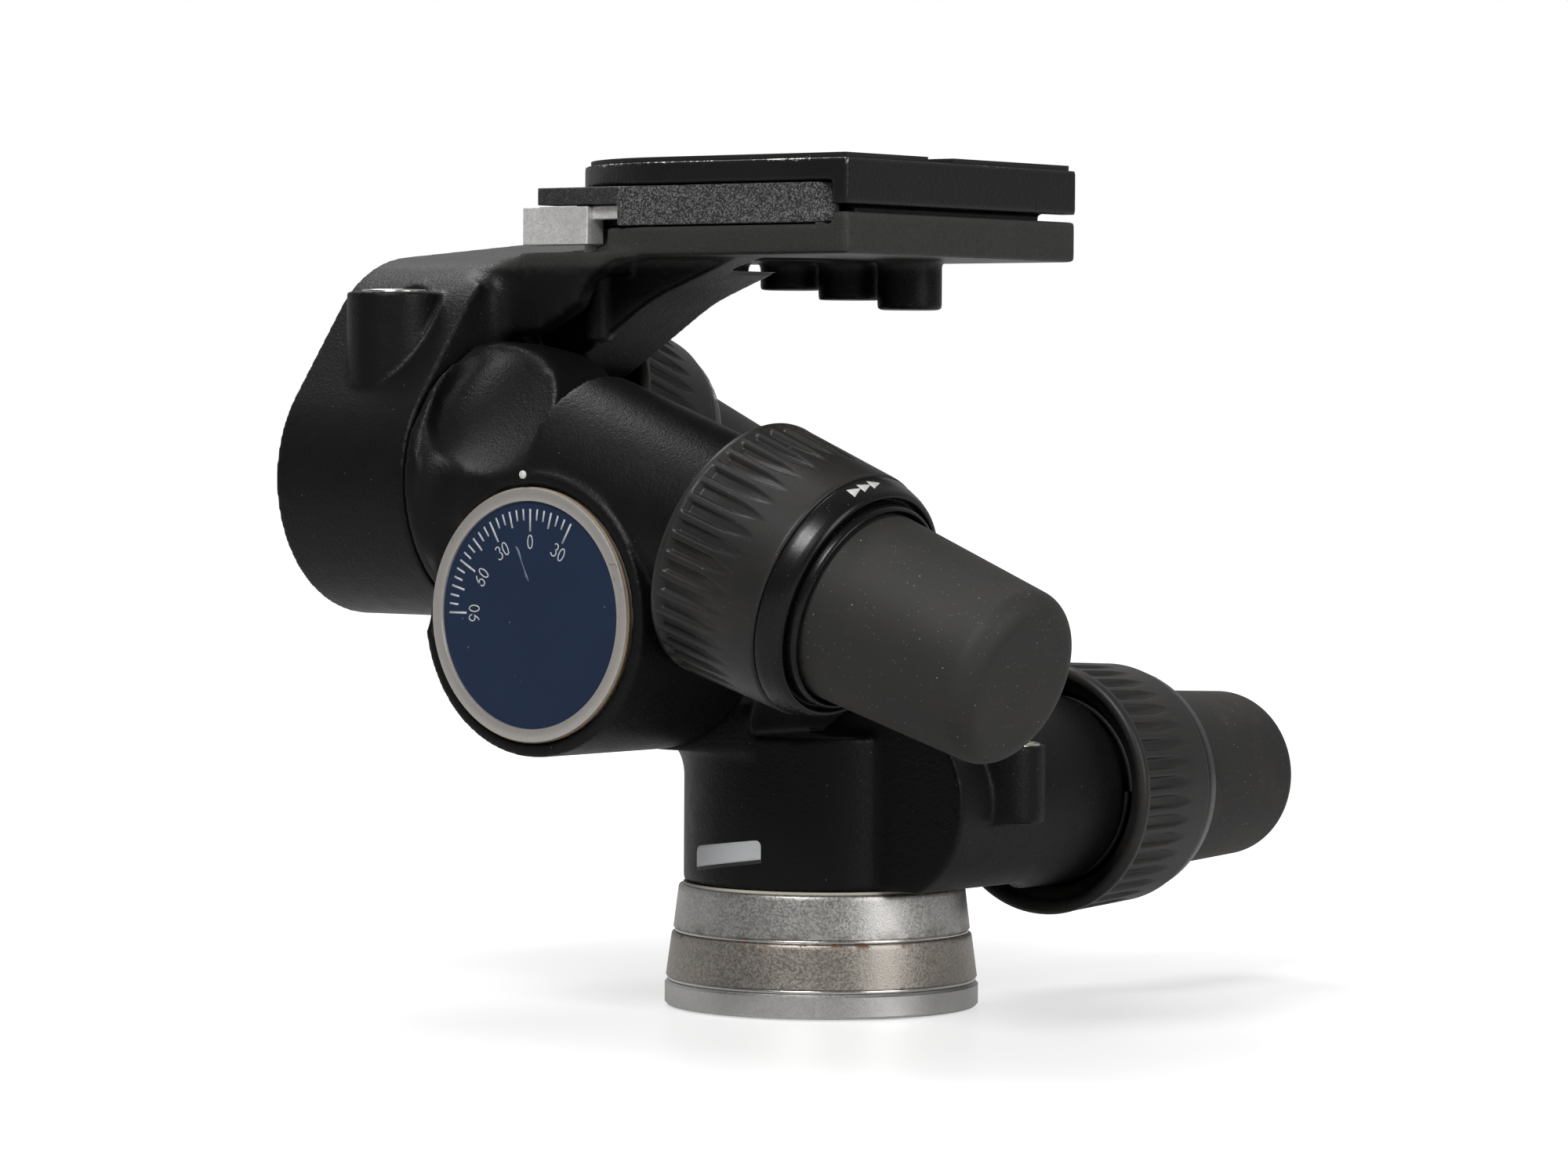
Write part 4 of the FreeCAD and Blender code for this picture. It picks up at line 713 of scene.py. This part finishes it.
def knob(stage, body_knob, body_collar):
    """A stage's collar, ring and grip. Gives their place and the collar's front."""
    joint = JOINTS[stage + "_knob_turn"]
    where = frame_of(joint["pos_m"], joint["axis"])
    origin, axis = where[:2]
    start, front = reach(stage + "_collar", origin, axis)
    cap_start, cap_end = reach(stage + "_grip", origin, axis)
    big, small = COLLAR_REAR * MM, COLLAR_FRONT * MM
    length = front - start
    # release collar with its flutes
    outside = [(r * MM, start + z * MM) for r, z in REAR_RIM]
    first, last = 1.6 * MM, length - 0.7 * MM
    for index in range(COLLAR_ROWS + 1):
        z = first + (last - first) * index / COLLAR_ROWS
        outside.append((big + (small - big) * (z / length), start + z))
    outside += [(small + r * MM, front + z * MM) for r, z in FRONT_RIM]
    inside = [(BORE * MM, front)] + [(r * MM, start + z * MM) for r, z in BORE_MOUTH]

    def flute(angle, r, z, index):
        """Take a flute's depth from the collar's outside, parallel-sided until it fades."""
        if index < len(REAR_RIM) or index >= len(outside):
            return r, z
        along = z - start
        turn = (angle * FLUTES / (2 * math.pi)) % 1.0
        across = abs(turn - 0.5) * 2
        entry = smooth((along - FLUTE_START * MM) / (FLUTE_ENTRY * MM))
        fade = smooth((FLUTE_END * MM - along) / (FLUTE_FADE * MM))
        narrow = smooth((NARROW_END * MM - along) / (NARROW_RUN * MM)) ** 0.5
        wide = 1 - smooth((across - 0.50 * narrow) / (0.20 * narrow + 0.02))
        return r - FLUTE_DEPTH * MM * wide * entry * fade ** 0.8, z

    collar = lathe(stage + "_collar_fluted", where, outside + inside, body_collar, COLLAR,
                   FLUTES * FLUTE_STEPS, shape=flute)
    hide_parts(stage + "_collar")
    # glossy ring with its bead round the grip
    points = [(6.0, 0.0), (22.8, 0.0), *RING_BAND, *RING_BEAD]
    profile = [(r * MM, front + z * MM) for r, z in points]
    profile = rounded_profile(profile, {i: 0.25 * MM for i in range(1, len(points) - 2)}, 3)
    ring = lathe(stage + "_ring", where, profile, body_collar, RING, 192, sharp=50)
    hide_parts(stage + "_collar_ring")
    # rubber grip: a tapered side, a rounded edge and a nearly flat end
    points = [(15.9, 0.0), (17.9, 0.0), (GRIP_REAR, GRIP_CHAMFER)]
    steps = 24
    run = (cap_end - cap_start) / MM
    taper = GRIP_FRONT - GRIP_REAR
    for index in range(1, steps + 1):
        share = index / steps
        points.append((GRIP_REAR + taper * share * (run - GRIP_EDGE) / run,
                       GRIP_CHAMFER + share * (run - GRIP_EDGE - GRIP_CHAMFER)))
    centre_r, centre_z = points[-1][0] - GRIP_EDGE, run - GRIP_EDGE
    for index in range(1, 17):
        t = index / 16 * math.pi / 2
        points.append((centre_r + GRIP_EDGE * math.cos(t), centre_z + GRIP_EDGE * math.sin(t)))
    for index in range(1, 9):
        share = index / 8
        points.append((centre_r * (1 - share), run - 0.02 * share))
    points += [(0.0, run - 4.0), (13.9, run - 6.4)]
    profile = [(max(r, 0) * MM, cap_start + z * MM) for r, z in points]
    rubber = WORN_RUBBER if stage == "pan" else RUBBER
    grip = lathe(stage + "_grip_cap", where, profile, body_knob, rubber, 160)
    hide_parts(stage + "_grip")
    return where, front


ends = {
    "pan": knob("pan", "pan_knob", "pan_release"),
    "roll": knob("roll", "roll_knob", "roll_release"),
    "tilt": knob("tilt", "tilt_knob", "tilt_release"),
}

ARROW_HEIGHT = 2.4
ARROW_RADIUS = 22.75
ARROW_STEP = 2.7
ARROW_TAIL, ARROW_TIP = -1.3, 1.5
ARROW_HALF = 1.05


def arrows(stage, body, degrees):
    """Three white triangles on the ring that show which way the collar turns."""
    (origin, axis, side, up), front = ends[stage]
    start = math.radians(degrees)
    way = side * math.cos(start) + up * math.sin(start)
    across = axis.cross(way)
    middle = front + ARROW_HEIGHT * MM
    radius = ARROW_RADIUS * MM
    heights, radii = [z for r, z in RING_BAND], [r for r, z in RING_BAND]
    verts, faces = [], []
    steps = 6
    for index in range(3):
        centre = (index - 1) * ARROW_STEP * MM
        tail, tip = [-(centre + u * MM) / radius for u in (ARROW_TAIL, ARROW_TIP)]
        start = len(verts)
        for i in range(steps + 1):
            t = i / steps
            a = tail * (1 - t) + tip * t
            half = ARROW_HALF * MM * (1 - t)
            for z in (middle - half, middle + half):
                r = (float(np.interp((z - front) / MM, heights, radii)) + 0.03) * MM
                verts.append(origin + axis * z + (way * math.cos(a) + across * math.sin(a)) * r)
        for i in range(steps):
            k = start + 2 * i
            faces.append((k, k + 1, k + 3, k + 2))
    return thicken(add_mesh(stage + "_arrows", verts, faces, body, WHITE), 0.06)


# ------------------------------------------------------------------ dials

def arc(centre, radii, start, end, steps):
    """Points on an ellipse, its angle counted clockwise from the top."""
    return [(centre[0] + radii[0] * math.sin(t), centre[1] + radii[1] * math.cos(t))
            for t in np.linspace(start, end, steps)]


# strokes of plain digits in a cell half as wide as it is high
SIX_BOWL = [(0.25 - 0.25 * math.cos(t), 0.29 - 0.29 * math.sin(t))
            for t in np.linspace(0, 2 * math.pi, 30)]
DIGITS = {
    "0": [arc((0.25, 0.5), (0.25, 0.5), 0, 2 * math.pi, 33)],
    "3": [arc((0.23, 0.76), (0.23, 0.24), -1.1, math.pi - 0.35, 16) + [(0.22, 0.53)],
          [(0.22, 0.53)] + arc((0.22, 0.265), (0.28, 0.265), 0.35, math.pi + 1.15, 18)],
    "6": [[(0.42, 1.0), (0.28, 0.90), (0.15, 0.74), (0.05, 0.54), (0.0, 0.30)] + SIX_BOWL],
}
DIGITS["9"] = [[(0.5 - x, 1 - y) for x, y in DIGITS["6"][0]]]

TICK_CIRCLE = 19.6
TICKS = (4.2, 3.1, 2.1)
NUMBER_CIRCLE = 13.5
DIGIT_HEIGHT, DIGIT_STEP, DIGIT_WIDTH = 2.45, 1.75, 0.92
STROKE = 0.24


def ribbon(points, width):
    """A flat stroke along a polyline: left and right points for each point."""
    points = [Vector(p) for p in points]
    closed = (points[0] - points[-1]).length < 1e-6
    rows = []
    count = len(points)
    for i, p in enumerate(points):
        if closed and i in (0, count - 1):
            way = points[1] - points[-2]
        else:
            way = points[min(i + 1, count - 1)] - points[max(i - 1, 0)]
        way.normalize()
        off = Vector((-way.y, way.x)) * width / 2
        rows.append((p + off, p - off))
    return rows


def dial_print(name, centre, right, up, out, body):
    """Ticks every 5 degrees from 90 over 0 to 30, with plain numbers, printed on the disc."""
    verts, faces = [], []

    def put(u, v):
        verts.append(centre + right * u * MM + up * v * MM + out * 0.03 * MM)
        return len(verts) - 1

    def quad(rows):
        ids = [(put(*a), put(*b)) for a, b in rows]
        for (a, b), (c, d) in zip(ids, ids[1:]):
            faces.append((a, b, d, c))

    for degrees in range(-90, 31, 5):
        t = math.radians(degrees)
        way = Vector((math.sin(t), math.cos(t)))
        length = TICKS[0] if degrees % 30 == 0 else TICKS[1] if degrees % 15 == 0 else TICKS[2]
        start, end = way * TICK_CIRCLE, way * (TICK_CIRCLE - length)
        quad(ribbon([start, end], 0.36 if degrees % 15 else 0.40))
    for degrees, text in ((-90, "90"), (-60, "60"), (-30, "30"), (0, "0"), (30, "30")):
        t = math.radians(degrees)
        way = Vector((math.sin(t), math.cos(t)))
        along = Vector((math.cos(t), -math.sin(t)))
        middle = way * NUMBER_CIRCLE
        shift = -(len(text) - 1) * DIGIT_STEP / 2
        for number, digit in enumerate(text):
            for stroke in DIGITS[digit]:
                points = []
                for x, y in stroke:
                    u = shift + number * DIGIT_STEP + (x - 0.25) * DIGIT_HEIGHT * DIGIT_WIDTH
                    points.append(middle + along * u + way * (y - 0.5) * DIGIT_HEIGHT)
                quad(ribbon(points, STROKE))
    obj = thicken(add_mesh(name, verts, faces, body, INK), 0.05)
    return obj


def dial(stage, body, out, up):
    """A stage's bezel and face. Gives the middles of the face and of the bezel's front."""
    out, up = Vector(out), Vector(up)
    right = up.cross(out)
    low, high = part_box(stage + "_dial_ring")
    centre = (low + high) / 2
    where = (centre - out * out.dot(centre), out, right, up)
    back, front = reach(stage + "_dial_ring", where[0], out)
    face = reach(stage + "_dial_face", where[0], out)[1]
    rear = [(0.0, 0.0), (23.2, 0.0), (23.5, 0.3)]
    rim = [(23.5, -0.45), (23.38, -0.14), (23.05, 0.0), (21.35, 0.0), (21.12, -0.08), (21.0, -0.3)]
    floor_of_ring = [(21.0, 1.0), (0.0, 1.0)]
    points = [(r * MM, back + z * MM) for r, z in rear]
    points += [(r * MM, front + z * MM) for r, z in rim]
    points += [(r * MM, back + z * MM) for r, z in floor_of_ring]
    ring = lathe(stage + "_bezel", where, points, body, BEZEL, 192, sharp=40)
    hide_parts(stage + "_dial_ring")
    paint_node(stage + "_dial_face", DIAL)
    dial_print(stage + "_dial_print", where[0] + out * face, right, up, out, body)
    return where[0] + out * face, where[0] + out * front


roll_face, roll_bezel = dial("roll", "pan_housing_body", (0, -1, 0), (0, 0, 1))
tilt_bezel = dial("tilt", "roll_body", (-1, 0, 0), (0, 0, 1))[1]


# ------------------------------------------------------------------ bubble levels

RIM_INSIDE, RIM_OUTSIDE = 5.2, 6.2


def bubble_level(stage, body, sunk=0.0):
    """A level's metal rim, its glass and the ring printed on it; sunk lowers the rim, in mm."""
    low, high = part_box(stage + "_level_ring")
    vial_low, vial_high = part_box(stage + "_level_vial")
    centre = (low + high) / 2
    where = upright(centre.x, centre.y)
    bottom, top = low.z / MM, high.z / MM - sunk
    points = [(RIM_INSIDE, bottom), (RIM_OUTSIDE, bottom), (RIM_OUTSIDE, top - 0.25),
              (6.05, top - 0.05), (5.85, top), (5.5, top - 0.05), (RIM_INSIDE, top - 0.35)]
    ring = lathe(stage + "_level_rim", where, in_metres(points), body, BRIGHT, 96, sharp=45)
    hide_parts(stage + "_level_ring")
    base, crown = vial_low.z / MM, vial_high.z / MM
    points = [(0.0, base), (RIM_INSIDE, base), (RIM_INSIDE, crown - 0.25), (5.0, crown - 0.05),
              (4.0, crown + 0.05), (2.5, crown + 0.12), (0.0, crown + 0.15)]
    vial = lathe(stage + "_level_glass", where, in_metres(points), body, LIQUID, 96, sharp=60)
    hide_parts(stage + "_level_vial")
    mark = [(2.35, crown + 0.10), (2.7, crown + 0.09), (2.7, crown + 0.15), (2.35, crown + 0.16)]
    lathe(stage + "_level_mark", where, in_metres(mark), body, DARK_INK, 64)


bubble_level("pan", "pan_housing_body", sunk=0.4)
bubble_level("bracket", "tilt_body")


# ------------------------------------------------------------------ foot

def groove_mark(obj, spans):
    """Mark where dirt gathers: spans are (height, how far it spreads) in mm."""
    values = []
    for v in obj.data.vertices:
        z = v.co.z / MM
        values.append(max(smooth(1 - abs(z - at) / wide) for at, wide in spans))
    attribute = obj.data.attributes.new("groove", "FLOAT", "POINT")
    attribute.data.foreach_set("value", np.array(values, np.float32))


def turned_side(radius, taper, bottom, height):
    """The slightly conical side of a turned ring, as points in mm."""
    return [(radius - taper * i / 12, bottom + height * i / 12) for i in range(13)]


def foot():
    """The three turned rings of the foot and the bright bands between them."""
    where = upright(0, 0)
    top_low, top_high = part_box("base_top_ring")
    mid_low, mid_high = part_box("base_mid_ring")
    top, low = top_high.z / MM, top_low.z / MM
    points = [(9.0, low), (27.6, low), (27.75, low + 0.5), (28.15, low + 0.85)]
    points += turned_side(28.38, 0.93, low + 1.0, top - low - 1.5)
    points += [(27.25, top - 0.15), (26.9, top), (9.0, top)]
    ring = lathe("top_ring_turned", where, in_metres(points), "base", SILVER_TOP, 192, sharp=40)
    groove_mark(ring, [(low + 0.9, 2.4)])
    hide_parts("base_top_ring")
    top, low = mid_high.z / MM, mid_low.z / MM
    points = [(24.0, low), (29.05, low), (29.15, low + 0.5), (29.6, low + 0.9)]
    points += turned_side(29.78, 1.05, low + 1.0, top - low - 1.4)
    points += [(28.6, top - 0.12), (28.3, top), (24.0, top)]
    ring = lathe("mid_ring_turned", where, in_metres(points), "base", SILVER_MID, 192, sharp=40)
    groove_mark(ring, [(low + 0.4, 1.1), (top, 0.8)])
    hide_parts("base_mid_ring")
    for name, at, radius in (("low_band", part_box("base_mid_ring")[0].z / MM + 0.45, 29.45),
                             ("high_band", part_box("base_top_ring")[0].z / MM + 0.45, 28.05)):
        band = [(radius - 0.9, at - 0.42), (radius - 0.15, at - 0.42), (radius + 0.05, at - 0.2),
                (radius + 0.12, at), (radius + 0.05, at + 0.2), (radius - 0.15, at + 0.42),
                (radius - 0.9, at + 0.42)]
        piece = lathe(name, where, in_metres(band), "base", BRIGHT, 192)
    paint_node("base_foot", SILVER_FOOT)


foot()


# ------------------------------------------------------------------ the other metal and plastic parts

for node in ("tripod_insert", "pan_axle", "roll_axle", "tilt_axle", "pan_retainer", "base_screws",
             "roll_axle_screws", "tilt_axle_screws", "lever_pivot", "camera_screw", "screw_key",
             "screw_clip"):
    paint_node(node, STEEL)
for stage in ("pan", "roll", "tilt"):
    paint_node(stage + "_worm_shaft", STEEL)
    paint_node(stage + "_return_spring", CORE)
    paint_node(stage + "_wheel", BRONZE)
    paint_node(stage + "_worm_bush", BEARING)
    paint_node(stage + "_knob_core", CORE)
for node in ("pan_thrust_washer", "pan_bush", "roll_bush", "tilt_bush"):
    paint_node(node, BEARING)
for node in ("pad_front", "pad_back"):
    paint_node(node, PAD)


# ------------------------------------------------------------------ small marks

def pip(name, centre, out, radius, body, material, height=0.25):
    """A small domed dot of paint, its height in mm."""
    points = [(0.0, -0.3 * MM), (radius, -0.3 * MM), (radius, 0.0)]
    points += [(radius * math.cos(t), height * MM * math.sin(t))
               for t in np.linspace(0.25, math.pi / 2 - 0.01, 6)]
    points.append((0.0, height * MM))
    return lathe(name, frame_of(centre, out), points, body, material, 32)


INDEX_ABOVE_AXIS = 25.9
face_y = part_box("mid_body")[0].y
roll_axis = Vector(JOINTS["roll"]["pos_m"])
pip("roll_index", (roll_axis.x, face_y, roll_axis.z + INDEX_ABOVE_AXIS * MM), (0, -1, 0),
    0.75 * MM, "roll_body", WHITE)


def lip(name, centre, out, profile, body, material):
    """A low ring round an axis: profile is (radius, height over centre) in mm."""
    return lathe(name, frame_of(centre, out), in_metres(profile), body, material, 192)


def streak(name, centre, out, up, points, widths, body, material):
    """A thin mark on a flat face, along points in mm from its centre."""
    out, up = Vector(out), Vector(up)
    right = up.cross(out)
    verts, faces = [], []
    for (u, v), wide in zip(points, widths):
        for side in (-0.5, 0.5):
            verts.append(centre + right * (u + side * wide) * MM + up * v * MM + out * 0.02 * MM)
    for i in range(len(points) - 1):
        faces.append((2 * i, 2 * i + 1, 2 * i + 3, 2 * i + 2))
    return thicken(add_mesh(name, verts, faces, body, material), 0.03)


def wrapped_patch(name, radius, corners, body, material, rounding=0.0, columns=28, rows=8):
    """A thin patch on the column. Corners are (degrees, mm up), clockwise from top left."""
    tl, tr, br, bl = corners
    verts, faces = [], []
    width = math.radians(tr[0] - tl[0]) * radius
    for i in range(columns + 1):
        s = i / columns
        s = smooth(s) if rounding else s
        near = min(s, 1 - s) * width
        cut = 0.0
        if near < rounding:
            cut = rounding - math.sqrt(max(rounding ** 2 - (rounding - near) ** 2, 0))
        top = tl[1] * (1 - s) + tr[1] * s - cut
        low = bl[1] * (1 - s) + br[1] * s
        angle = math.radians(tl[0] * (1 - s) + tr[0] * s)
        for j in range(rows + 1):
            z = low + (top - low) * j / rows
            verts.append(Vector((math.cos(angle) * radius, math.sin(angle) * radius, z)) * MM)
    for i in range(columns):
        for j in range(rows):
            a = i * (rows + 1) + j
            faces.append((a, a + rows + 1, a + rows + 2, a + 1))
    return thicken(add_mesh(name, verts, faces, body, material), 0.08)


DIRT_LINE = [(23.50, -1.2), (23.50, -0.50), (23.56, -0.44), (23.62, -0.50), (23.62, -1.2)]
lip("roll_dial_grime", roll_bezel, (0, -1, 0), DIRT_LINE, "pan_housing_body", GREASE)
lip("tilt_dial_grime", tilt_bezel, (-1, 0, 0), DIRT_LINE, "roll_body", GREASE)

streak("roll_dial_scratch", roll_face, (0, -1, 0), (0, 0, 1),
       [(-3.4, 12.6), (-2.9, 11.9), (-2.2, 10.2), (-1.4, 8.4), (-0.9, 7.2), (-0.3, 6.2)],
       [0.40, 0.62, 0.26, 0.22, 0.60, 0.20], "pan_housing_body", SCRATCH)
streak("roll_bezel_stain", roll_bezel, (0, -1, 0), (0, 0, 1),
       [(19.3, 10.0), (19.9, 9.7), (20.6, 9.9), (21.3, 9.4)], [0.25, 0.16, 0.22, 0.14],
       "pan_housing_body", GREASE)
streak("roll_bezel_stain_low", roll_bezel, (0, -1, 0), (0, 0, 1),
       [(20.3, 7.9), (20.5, 7.4), (20.7, 6.8)], [0.16, 0.40, 0.14], "pan_housing_body", GREASE)

# a blank sticker on the column, and its worn lower edge
wrapped_patch("column_sticker", 26.62,
              ((-115.4, 31.0), (-78.2, 33.1), (-77.9, 29.4), (-115.2, 27.0)),
              "pan_housing_body", LABEL, rounding=1.3)
wrapped_patch("column_sticker_edge", 26.60,
              ((-115.2, 27.0), (-77.9, 29.4), (-77.9, 28.7), (-115.2, 26.3)),
              "pan_housing_body", CORE)


# ------------------------------------------------------------------ camera, floor and light

CAMERA_SPOT = Vector((0.6491, -0.8500, 0.1154))
CAMERA_AROUND, CAMERA_DOWN, CAMERA_ROLL = 37.774, 1.923, 0.34
CAMERA_LENS = 128.55

around, down, lean = [math.radians(a) for a in (CAMERA_AROUND, CAMERA_DOWN, CAMERA_ROLL)]
right = Vector((math.cos(around), math.sin(around), 0))
back = Vector((math.sin(around), -math.cos(around), 0))
up = Vector((0, 0, 1))
camera_back = back * math.cos(down) + up * math.sin(down)
level_up = up * math.cos(down) - back * math.sin(down)
camera_right = right * math.cos(lean) + level_up * math.sin(lean)
camera_up = level_up * math.cos(lean) - right * math.sin(lean)
camera_data = bpy.data.cameras.new("camera")
camera = bpy.data.objects.new("camera", camera_data)
scene.collection.objects.link(camera)
turn = Matrix((camera_right, camera_up, camera_back)).transposed().to_4x4()
camera.matrix_world = Matrix.Translation(CAMERA_SPOT) @ turn
camera_data.lens = CAMERA_LENS
camera_data.sensor_width = 36
camera_data.sensor_fit = "HORIZONTAL"
camera_data.clip_start = 0.01
scene.camera = camera

FLOOR_HALF, FLOOR_Z = 6, -0.0003
WHITE_LIGHT = (1, 1, 1, 1)
# a level direction, fixed in the row frame, towards the backdrop behind the object
BACKDROP_WAY = (-0.61, 0.79, 0.0)

floor_mesh = bpy.data.meshes.new("floor")
floor_mesh.from_pydata([(x * FLOOR_HALF, y * FLOOR_HALF, FLOOR_Z)
                        for x, y in ((-1, -1), (1, -1), (1, 1), (-1, 1))], [], [(0, 1, 2, 3)])
floor = bpy.data.objects.new("floor", floor_mesh)
scene.collection.objects.link(floor)
n = Nodes("floor_white")
n.set("Base Color", n.mix(n.noise(3, 2), (0.50, 0.50, 0.50), (0.52, 0.52, 0.52)))
n.set("Roughness", 0.35)
path = n.add("LightPath").outputs
n.set("Emission Color", WHITE_LIGHT)
# seen straight, the floor is darker under the object and white away from it
spot = n.add("VectorMath", {0: n.where}, operation="LENGTH").outputs["Value"]
far = n.add("MapRange", {"Value": spot, "From Min": 0.07, "From Max": 0.30,
                         "To Min": 0.56, "To Max": 1.05}, interpolation_type="SMOOTHSTEP")
seen = n.maths("MAXIMUM", path["Is Camera Ray"], path["Is Transmission Ray"])
straight = n.maths("MULTIPLY", seen, far.outputs["Result"])
# mirrored in the object, it is dim in front and paler behind
depth = n.add("VectorMath", {0: n.where, 1: BACKDROP_WAY}, operation="DOT_PRODUCT").outputs["Value"]
dim = n.add("MapRange", {"Value": depth, "From Min": -0.3, "From Max": 0.5,
                         "To Min": 0.05, "To Max": 0.35}, interpolation_type="SMOOTHSTEP")
mirrored = n.maths("MULTIPLY", path["Is Glossy Ray"], dim.outputs["Result"])
n.set("Emission Strength", n.maths("MAXIMUM", straight, mirrored))
n.set("Specular IOR Level", 0.3)
floor_mesh.materials.append(n.material)

world = bpy.data.worlds.new("world")
scene.world = world
world.use_nodes = True
tree = world.node_tree
tree.nodes.clear()


def world_node(kind, links, **values):
    """Add a node to the world; links are by input socket."""
    node = tree.nodes.new("ShaderNode" + kind)
    for key, value in values.items():
        setattr(node, key, value)
    for key, value in links.items():
        if isinstance(value, bpy.types.NodeSocket):
            tree.links.new(value, node.inputs[key])
        else:
            node.inputs[key].default_value = value
    return node.outputs


# the backdrop is white to the camera, and lights the object only faintly
path = world_node("LightPath", {})
lit = world_node("Background", {"Color": WHITE_LIGHT, "Strength": 0.08})
shown = world_node("Background", {"Color": WHITE_LIGHT, "Strength": 1.0})
seen = world_node("Math", {0: path["Is Camera Ray"], 1: path["Is Transmission Ray"]},
                  operation="MAXIMUM")
# a mirror in the studio sees the white backdrop behind the object and a dim room in front of it
ways = world_node("TexCoord", {})
split = world_node("VectorMath", {0: ways["Generated"], 1: BACKDROP_WAY}, operation="DOT_PRODUCT")
spread = world_node("MapRange", {"Value": split["Value"], "From Min": -0.35, "From Max": 0.55,
                                 "To Min": 0.04, "To Max": 0.34}, interpolation_type="SMOOTHSTEP")
share = world_node("Math", {0: path["Is Glossy Ray"], 1: spread["Result"], 2: seen[0]},
                   operation="MULTIPLY_ADD")
mixed = world_node("MixShader", {"Fac": share[0], 1: lit[0], 2: shown[0]})
world_node("OutputWorld", {"Surface": mixed[0]})


def softbox(name, spot, target, size, power):
    """A soft rectangular lamp that looks at its target."""
    data = bpy.data.lights.new(name, "AREA")
    data.shape = "RECTANGLE"
    data.size, data.size_y = size
    data.energy = power
    lamp = bpy.data.objects.new(name, data)
    scene.collection.objects.link(lamp)
    lamp.location = spot
    lamp.rotation_euler = (target - spot).to_track_quat("-Z", "Y").to_euler()


middle = Vector((0, 0, 0.09))
softbox("key", middle + right * -0.30 + back * 0.80 + up * 0.80, middle, (0.36, 0.36), 9.5)
softbox("rim", middle + right * -0.25 - back * 0.45 + up * 0.85, middle, (0.50, 0.40), 5.0)
softbox("fill", middle + right * 0.70 + back * 0.62 + up * 0.34, middle, (0.4, 0.6), 4.0)

# the angles round each knob's axis, in degrees
arrows("roll", "roll_release", 284)
arrows("tilt", "tilt_release", 322)
arrows("pan", "pan_release", 282)

scene.view_settings.view_transform = "Standard"
bpy.context.view_layer.update()
